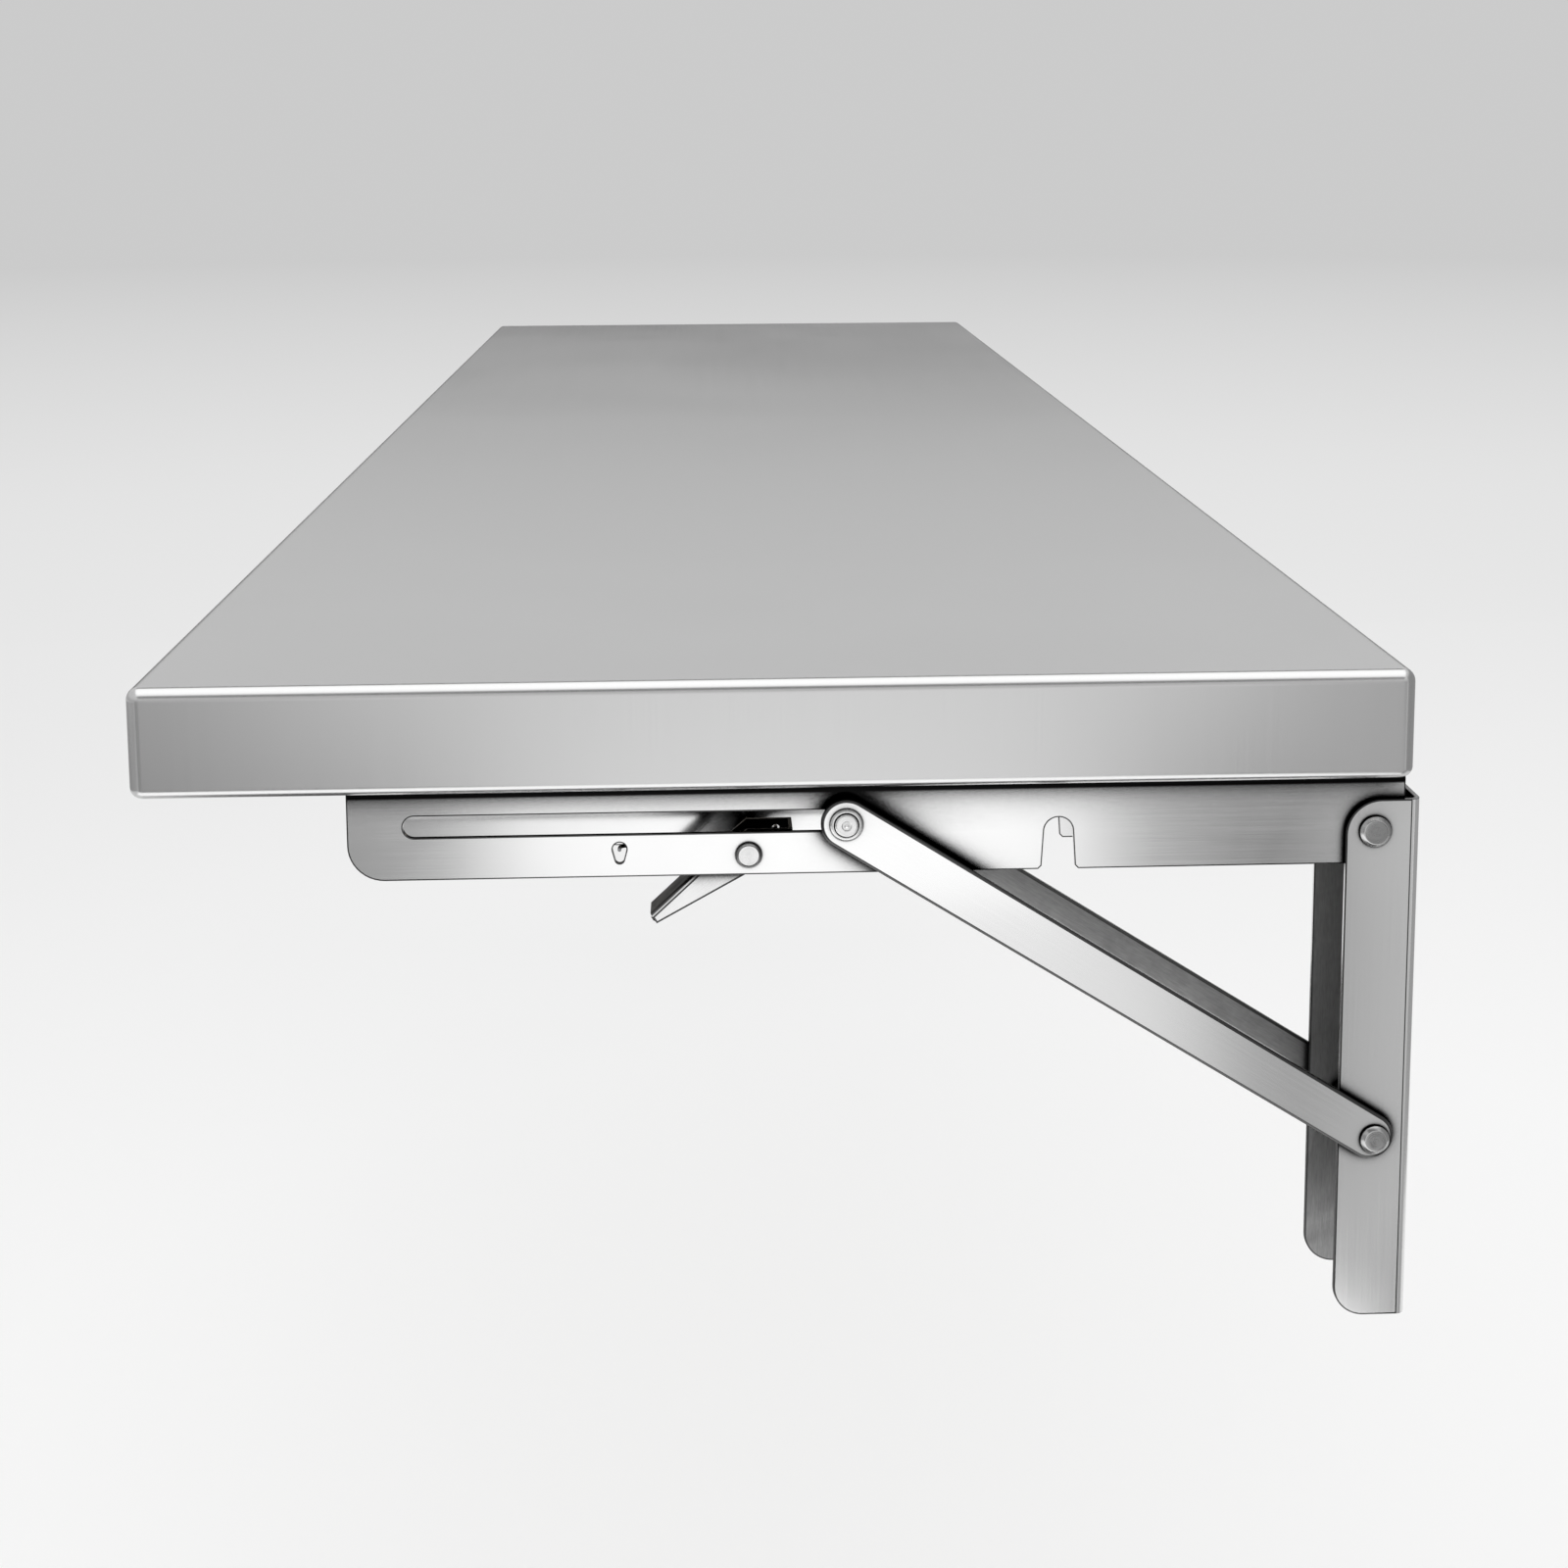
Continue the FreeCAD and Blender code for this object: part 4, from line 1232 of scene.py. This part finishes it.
@dataclass
class Strut:
    """Two flat bars with a riveted eye at the slide pin and a pivot pin at their foot."""

    side: Side
    edge: float = 0.0006

    def build(self) -> None:
        """Build the bars, rivets and pins."""
        word = self.side.word
        body = f"strut_{word}"
        pivot = Rivet(f"strut_pivot_pin_{word}", "wall_mounts")
        slide = SlidePin(f"slide_pin_{word}", f"slide_{word}")
        along = (slide.centre - pivot.centre).normalized()
        for place in ("outer", "inner"):
            node = f"strut_bar_{place}_{word}"
            SheetPart(
                node, body, BRACKET_STEEL, along, self.side.middle, self.edge, MILL_AND_SHADE_STEEL
            ).build()
        EyeRivets(f"strut_eye_rivets_{word}", body).build()
        pivot.build()
        slide.build()
        Shaping.dressed(f"slide_washers_{word}", WASHER_NYLON)


class WireRun:
    """A round wire, drawn out from its end by extruding it straight or spinning it round a bend."""

    def __init__(self, radius: float, start: Vector, way: Vector, sides: int = 12) -> None:
        """Start the wire with a closed end.

        Args:
            radius: The wire's radius.
            start: The middle of its end.
            way: The unit direction it leaves in.
            sides: Faces round the wire.
        """
        self.mesh = bmesh.new()
        self.at = start.copy()
        self.way = way.copy()
        facing = Matrix.Translation(start) @ way.to_track_quat("Z", "Y").to_matrix().to_4x4()
        ring = bmesh.ops.create_circle(
            self.mesh, cap_ends=True, segments=sides, radius=radius, matrix=facing
        )
        self.end = list(dict.fromkeys(e for v in ring["verts"] for e in v.link_edges))

    def straight(self, goal: Vector) -> None:
        """Draw the wire straight to a place ahead of it.

        Args:
            goal: Where the run ends.
        """
        made = bmesh.ops.extrude_edge_only(self.mesh, edges=self.end)["geom"]
        fresh = [part for part in made if isinstance(part, bmesh.types.BMVert)]
        bmesh.ops.translate(self.mesh, verts=fresh, vec=goal - self.at)
        self.end = [
            part for part in made if isinstance(part, Edge) and set(part.verts) <= set(fresh)
        ]
        self.at = goal.copy()

    def wind(self, centre: Vector, axis: Vector, angle: float, climb: float, steps: int) -> None:
        """Wind the wire round an axis.

        Args:
            centre: A point on the axis.
            axis: The axis, about which it turns right-handed.
            angle: How far it turns.
            climb: How far it moves along the axis meanwhile.
            steps: Faces along the way.
        """
        ring = dict.fromkeys(v for e in self.end for v in e.verts)
        made = bmesh.ops.spin(
            self.mesh, geom=[*ring, *self.end], cent=centre, axis=axis, dvec=axis * (climb / steps),
            angle=angle, steps=steps,
        )["geom_last"]
        self.end = [part for part in made if isinstance(part, Edge)]
        turn = Matrix.Rotation(angle, 3, axis)
        self.at = centre + turn @ (self.at - centre) + axis * climb
        self.way = turn @ self.way

    def corner(self, corner: Vector, goal: Vector, radius: float, steps: int = 8) -> None:
        """Draw the wire to a rounded corner, round it, and on to a place beyond it.

        Args:
            corner: Where the two straight runs would meet.
            goal: Where the second run ends.
            radius: The radius of the bend.
            steps: Faces round the bend.
        """
        into = (corner - self.at).normalized()
        out = (goal - corner).normalized()
        angle = into.angle(out)
        self.straight(corner - into * radius * math.tan(angle / 2))
        inward = (out - into * out.dot(into)).normalized()
        self.wind(self.at + inward * radius, into.cross(out).normalized(), angle, 0.0, steps)
        self.way = out
        self.straight(goal)

    def closed(self) -> Mesh:
        """Close the far end.

        Returns:
            The finished wire.
        """
        bmesh.ops.edgeloop_fill(self.mesh, edges=self.end)
        bmesh.ops.remove_doubles(self.mesh, verts=self.mesh.verts, dist=MERGE)
        return self.mesh


@dataclass
class Lever(SheetPart):
    """The folded lever, with a wide bend along both sides of its paddle."""

    bend: float = 0.002
    bend_steps: int = 4
    bend_turn: float = 1.0
    bend_length: float = 0.012
    paddle_reach: float = 0.0158
    paddle_rise: float = 0.002
    cheek_facing: float = 0.9
    web_facing: float = 0.3
    ground_facing: float = 0.95

    def _inside(self, face: Face) -> bool:
        """Tell whether a face is anything but a cheek's ground outer side; those take the web finish,
        painted dark as shade.
        """
        return super()._inside(face) or abs(face.normal.x) < self.ground_facing

    def _bent(self, edge: Edge, low: Vector, high: Vector) -> bool:
        """Tell whether an edge is one of the paddle's two long ones.

        Args:
            edge: The edge.
            low: The lever's lowest corner.
            high: The lever's highest corner.

        Returns:
            Whether it is.
        """
        if len(edge.link_faces) != 2 or edge.calc_face_angle() <= self.bend_turn:
            return False
        normals = [face.normal for face in edge.link_faces]
        ends = [vert.co for vert in edge.verts]
        return (
            max(abs(normal.x) for normal in normals) > self.cheek_facing
            and all(normal.x != 0 or normal.z > self.web_facing for normal in normals)
            and min(abs(end.x - side) for end in ends for side in (low.x, high.x)) < MERGE
            and max(end.y for end in ends) < low.y + self.paddle_reach
            and edge.calc_length() > self.bend_length
            and min(end.z for end in ends) > low.z + self.paddle_rise
        )

    def fold(self, mesh: Mesh) -> None:
        """Round the two long edges of the paddle.

        Args:
            mesh: The lever's mesh.
        """
        low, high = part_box(self.node)
        edges = [edge for edge in mesh.edges if self._bent(edge, low, high)]
        log.info("lever %s: %d folds", self.node, len(edges))
        Shaping.bevel(mesh, edges, self.bend, self.bend_steps)


@dataclass
class Latch:
    """The folded release lever, the pin it turns on and the torsion spring that holds it down."""

    side: Side
    along: Triple = (0.0, -0.8, -0.6)
    edge: float = 0.0005
    rim: float = 0.0006
    head: float = 0.0013
    shank: float = 0.0025
    chamfer: float = 0.0008
    wire: float = 0.0012
    coil: float = 0.0042
    pitch: float = 0.0015
    turns: int = 4
    steps_per_turn: int = 28
    bend: float = 0.0016
    hook_reach: float = 0.009
    hook_out: float = 0.00635
    anchor_reach: float = 0.0406
    anchor_rise: float = 0.00245
    anchor_out: float = 0.00885

    def build(self) -> None:
        """Build the lever, the pin and the spring."""
        word = self.side.word
        node = f"latch_lever_{word}"
        Lever(
            node, f"latch_{word}", LEVER_STEEL, Vector(self.along), middle(node).x, self.edge, SHADED_WEB_STEEL,
            self.rim,
        ).build()
        Rivet(
            f"latch_pin_{word}", "leaf", shank=self.shank, head=self.head, chamfer=self.chamfer,
            finish=RIVET_STEEL,
        ).build()
        self.spring()

    def spring(self) -> Piece:
        """Wind the spring and let it follow both the leaf and the lever.

        Returns:
            The spring's object.
        """
        word = self.side.word
        facing = self.side.value
        centre = middle(f"latch_pin_{word}")
        centre.x = middle(f"latch_lever_{word}").x
        mesh, half = self._wound()
        place = Matrix.Translation(centre) @ Matrix.Diagonal((facing, 1.0, 1.0, 1.0))
        bmesh.ops.transform(mesh, matrix=place, verts=mesh.verts)
        bmesh.ops.recalc_face_normals(mesh, faces=mesh.faces)
        Shaping.lay_lines(mesh, Lay.TURNED, centre=centre)
        node = f"latch_spring_{word}"
        piece = Shaping.finished(mesh, f"{node}_wound", WIRE_STEEL, "", [node])
        reach = ACROSS * (half * facing)
        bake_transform(piece, "leaf", f"latch_{word}", start=centre + reach, end=centre - reach)
        return piece

    def _wound(self) -> tuple[Mesh, float]:
        """Wind the wire round the origin: a hooked leg, the coil, and a leg out to the arm.

        Returns:
            The wire, and half of the coil's length.
        """
        climb = self.pitch / FULL_TURN
        anchor = Vector((0.0, -self.anchor_reach, self.anchor_rise))
        lean = math.asin(self.coil / anchor.length) - math.atan2(anchor.z, -anchor.y)
        whole = FULL_TURN * self.turns + lean
        half = climb * whole / 2
        leave = Vector((climb, -self.coil, 0.0)).normalized()
        first = Vector((-half, 0.0, self.coil))
        hook = first - leave * (self.hook_reach / -leave.y)
        wire = WireRun(self.wire / 2, Vector((-self.hook_out, hook.y, hook.z)), ACROSS)
        wire.corner(hook, first, self.bend)
        wire.wind(Vector(), ACROSS, whole, 2 * half, self.steps_per_turn * self.turns)
        hold = wire.at + wire.way * ((anchor.y - wire.at.y) / wire.way.y)
        wire.corner(hold, Vector((self.anchor_out, hold.y, hold.z)), self.bend)
        return wire.closed(), half


class Stage:
    """What the floor, the panels and the background share."""

    @staticmethod
    def seen(wiring: Wiring) -> Socket:
        """A mask of the rays that look at the background.

        Args:
            wiring: The tree to work in.

        Returns:
            1 for a camera, glossy or transmission ray, and else 0.
        """
        path = wiring.add("ShaderNodeLightPath").outputs
        either = wiring.sum("MAXIMUM", path["Is Camera Ray"], path["Is Glossy Ray"])
        return wiring.sum("MAXIMUM", either, path["Is Transmission Ray"])

    @staticmethod
    def square(name: str, material: Material, half: float, at: Triple) -> Piece:
        """Lay a level square and make it part of the stage.

        Args:
            name: Its name.
            material: Its material.
            half: Half of its side.
            at: Its middle.

        Returns:
            The stage object.
        """
        mesh = bmesh.new()
        place = Matrix.Translation(at)
        bmesh.ops.create_grid(mesh, x_segments=1, y_segments=1, size=half, matrix=place)
        data = bpy.data.meshes.new(name)
        mesh.to_mesh(data)
        mesh.free()
        data.materials.append(material)
        made = bpy.data.objects.new(name, data)
        bpy.context.scene.collection.objects.link(made)
        return made


@dataclass(frozen=True)
class Lamp:
    """A soft box that lights the table but isn't mirrored in it."""

    name: str
    at: Triple
    aim: Triple
    width: float
    height: float
    power: float

    def build(self) -> None:
        """Hang the lamp."""
        data = bpy.data.lights.new(self.name, "AREA")
        data.shape = "RECTANGLE"
        data.size = self.width
        data.size_y = self.height
        data.energy = self.power
        lamp = bpy.data.objects.new(self.name, data)
        lamp.location = self.at
        ahead = Vector(self.aim) - Vector(self.at)
        lamp.rotation_euler = ahead.to_track_quat("-Z", "Y").to_euler()
        lamp.visible_camera = lamp.visible_glossy = False
        bpy.context.scene.collection.objects.link(lamp)


@dataclass(frozen=True)
class Panel:
    """A panel out of sight that the steel mirrors.

    The stops are shares of the way along its first side, and how bright it glows there.
    """

    name: str
    corner: Triple
    across: Triple
    up: Triple
    stops: tuple[Station, ...]
    brightest: float = 2.0

    def build(self) -> None:
        """Stand the panel up."""
        panel = Stage.square(self.name, self._glow(), half=0.5, at=(0.5, 0.5, 0.0))
        across, up = Vector(self.across), Vector(self.up)
        axes = Matrix((across, up, across.cross(up).normalized())).transposed().to_4x4()
        panel.matrix_world = Matrix.Translation(self.corner) @ axes
        panel.visible_camera = panel.visible_shadow = panel.visible_diffuse = False

    def _glow(self) -> Material:
        """Make the glow that changes along the panel's first side.

        Returns:
            The material.
        """
        material, wiring = Wiring.of_material(self.name)
        along = wiring.add("ShaderNodeSeparateXYZ", {0: wiring.place()}).outputs[0]
        curve = wiring.add("ShaderNodeFloatCurve", {"Value": along})
        points = curve.mapping.curves[0].points
        stops = [(share, bright / self.brightest) for share, bright in self.stops]
        for stop in stops[1:-1]:
            points.new(*stop)
        for point, stop in zip(points, stops):
            point.location = stop
        curve.mapping.update()
        tone = wiring.sum("MULTIPLY", curve.outputs[0], self.brightest)
        glow = wiring.add("ShaderNodeEmission", {"Color": tone, "Strength": 1.0})
        wiring.add("ShaderNodeOutputMaterial", {"Surface": glow.outputs[0]})
        return material


def even(bright: float) -> tuple[Station, ...]:
    """The stops of a panel that glows alike all over."""
    return ((0.0, bright), (1.0, bright))


LAMPS = (
    Lamp("overhead", (0.6, -0.2, 1.7), (0.6, -0.2, 0.0), width=0.5, height=2.2, power=12.0),
    Lamp("front_left", (1.4, -2.2, 1.1), (0.0, -0.2, 0.1), width=2.4, height=1.6, power=15.0),
    Lamp("wall_side", (-0.8, 1.9, 1.3), (0.0, -0.2, 0.1), width=2.4, height=1.6, power=11.0),
)
PANELS = (
    Panel(
        "panel_end", (1.5, -1.3, -0.185), (0.0, 2.2, 0.0), (0.0, 0.0, 0.4),
        ((0.0, 0.45), (0.3, 0.58), (0.352, 0.9), (0.45, 1.06), (0.55, 1.1), (0.651, 1.03), (0.725, 0.6),
         (1.0, 0.55)),
    ),
    Panel(
        "panel_arm", (1.5, -1.3, -0.285), (0.0, 2.2, 0.0), (0.0, 0.0, 0.1),
        ((0.0, 0.36), (0.375, 0.38), (0.44, 1.32), (0.6, 1.32), (0.635, 0.5), (0.66, 0.33), (0.69, 0.22),
         (0.715, 0.6), (1.0, 0.5)),
    ),
    Panel(
        "panel_strut", (1.5, -1.3, -0.6), (0.0, 2.2, 0.0), (0.0, 0.0, 0.315),
        ((0.0, 0.4), (0.375, 0.4), (0.44, 1.06), (0.54, 1.06), (0.59, 1.02), (0.635, 0.95), (0.66, 0.75),
         (0.695, 0.4), (0.725, 0.59), (1.0, 0.5)),
    ),
    Panel(
        "panel_over", (-1.0, -1.0, 1.0), (3.4, 0.0, 0.0), (0.0, 1.6, 0.0),
        ((0.0, 0.3), (0.2, 0.3), (0.3, 1.7), (0.64, 1.7), (0.74, 0.3), (1.0, 0.3)),
    ),
    Panel("panel_foot", (0.76, -1.1, -0.58), (0.0, 1.35, 0.0), (0.66, 0.0, 0.0), even(1.8)),
    Panel("panel_base", (0.85, 0.25, -0.58), (0.0, 1.1, 0.0), (0.8, 0.0, 0.0), even(0.45)),
    Panel(
        "panel_far", (-2.5, -2.6, -0.6), (0.0, 0.0, 2.2), (0.0, 4.8, 0.0),
        ((0.0, 0.7), (0.2, 0.6), (0.28, 0.06), (0.43, 0.05), (0.48, 0.3), (0.54, 0.74), (1.0, 0.78)),
    ),
    Panel("panel_front", (-1.2, -3.2, -0.58), (3.6, 0.0, 0.0), (0.0, 1.3, 0.0), even(0.36)),
    Panel("panel_under", (-0.85, -0.55, -0.56), (1.6, 0.0, 0.0), (0.0, 0.75, 0.0), even(0.12)),
    Panel("panel_wall", (-1.2, 1.1, -0.6), (2.6, 0.0, 0.0), (0.0, 0.0, 1.6), even(0.4)),
)


@dataclass
class Studio:
    """A pale floor, soft lamps, graduated panels that the metal mirrors, and the camera."""

    ambient: float = 0.75
    pale: float = 0.88
    near: float = 1.0
    far: float = 0.6
    horizon: Span = (0.08, 0.3)
    floor_z: float = -0.6
    floor_half: float = 14.0
    floor_color: Triple = (0.86, 0.86, 0.86)
    floor_roughness: float = 0.9
    floor_doublings: float = 3.8
    glow_reach: Span = (1.2, 5.0)
    glow_share: Span = (0.5, 1.0)
    eye: Triple = (1.23332, -0.22558, 0.3041)
    yaw: float = math.radians(2.1152)
    pitch: float = math.radians(7.1261)
    roll: float = math.radians(-0.3209)
    lens: float = 48.478
    sensor: float = 36.0
    shift_y: float = -0.25
    clip: Span = (0.01, 100.0)

    def build(self) -> None:
        """Set up the stage."""
        self.world()
        self.floor()
        for light in (*LAMPS, *PANELS):
            light.build()
        self.camera()
        bpy.context.scene.view_settings.view_transform = "Standard"

    def world(self) -> None:
        """Light all round, with a pale background."""
        world = bpy.data.worlds.new("studio")
        bpy.context.scene.world = world
        world.use_nodes = True
        wiring = Wiring(world.node_tree)
        light = wiring.add("ShaderNodeBackground", {"Color": WHITE, "Strength": self.ambient})
        way = wiring.add("ShaderNodeTexCoord").outputs["Generated"]
        height = wiring.add("ShaderNodeSeparateXYZ", {0: way}).outputs[2]
        tone = wiring.spread(height, *self.horizon, self.far, self.pale)
        shown = wiring.add("ShaderNodeBackground", {"Color": tone, "Strength": 1.0})
        both = {0: Stage.seen(wiring), 1: light.outputs[0], 2: shown.outputs[0]}
        mixed = wiring.add("ShaderNodeMixShader", both)
        wiring.add("ShaderNodeOutputWorld", {"Surface": mixed.outputs[0]})

    def floor(self) -> None:
        """A wide pale floor that keeps the table's shadow and glows into the background far off."""
        material, wiring = Wiring.of_material("floor_pale")
        ground = {"Base Color": toned(self.floor_color), "Roughness": self.floor_roughness}
        lit = wiring.add("ShaderNodeBsdfPrincipled", ground)
        away = wiring.add("ShaderNodeVectorMath", {0: wiring.place()}, operation="LENGTH").outputs["Value"]
        doublings = wiring.sum("LOGARITHM", away, 2.0)
        tone = wiring.spread(doublings, 0.0, self.floor_doublings, self.near, self.far)
        glow = wiring.add("ShaderNodeEmission", {"Color": tone, "Strength": 1.0})
        fade = wiring.spread(away, *self.glow_reach, *self.glow_share, soft=True)
        share = wiring.sum("MULTIPLY", Stage.seen(wiring), fade)
        mixed = wiring.add("ShaderNodeMixShader", {0: share, 1: lit.outputs[0], 2: glow.outputs[0]})
        wiring.add("ShaderNodeOutputMaterial", {"Surface": mixed.outputs[0]})
        Stage.square("floor", material, self.floor_half, (0.0, 0.0, self.floor_z))

    def camera(self) -> None:
        """Look along the table from its right end."""
        level = math.cos(self.pitch)
        ahead = Vector((-level * math.cos(self.yaw), level * math.sin(self.yaw), -math.sin(self.pitch)))
        right = Vector((math.sin(self.yaw), math.cos(self.yaw), 0.0))
        right.rotate(Matrix.Rotation(-self.roll, 3, ahead))
        turn = Matrix((right, right.cross(ahead), -ahead)).transposed().to_4x4()
        data = bpy.data.cameras.new("view")
        data.lens = self.lens
        data.sensor_width = self.sensor
        data.shift_y = self.shift_y
        data.clip_start, data.clip_end = self.clip
        camera = bpy.data.objects.new("view", data)
        camera.matrix_world = Matrix.Translation(self.eye) @ turn
        bpy.context.scene.collection.objects.link(camera)
        bpy.context.scene.camera = camera


def main() -> None:
    """Load the frame, set up the studio and build each sub-assembly around it."""
    logging.basicConfig(level=logging.INFO, format="%(name)s: %(message)s")
    for thing in list(bpy.data.objects):
        bpy.data.objects.remove(thing)
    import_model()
    Studio().build()
    Leaf().build()
    for side in Side:
        for assembly in (WallChannel(side), Arm(side), Strut(side), Latch(side)):
            log.info("building %s %s", type(assembly).__name__, side.word)
            assembly.build()


if __name__ == "__main__":
    main()
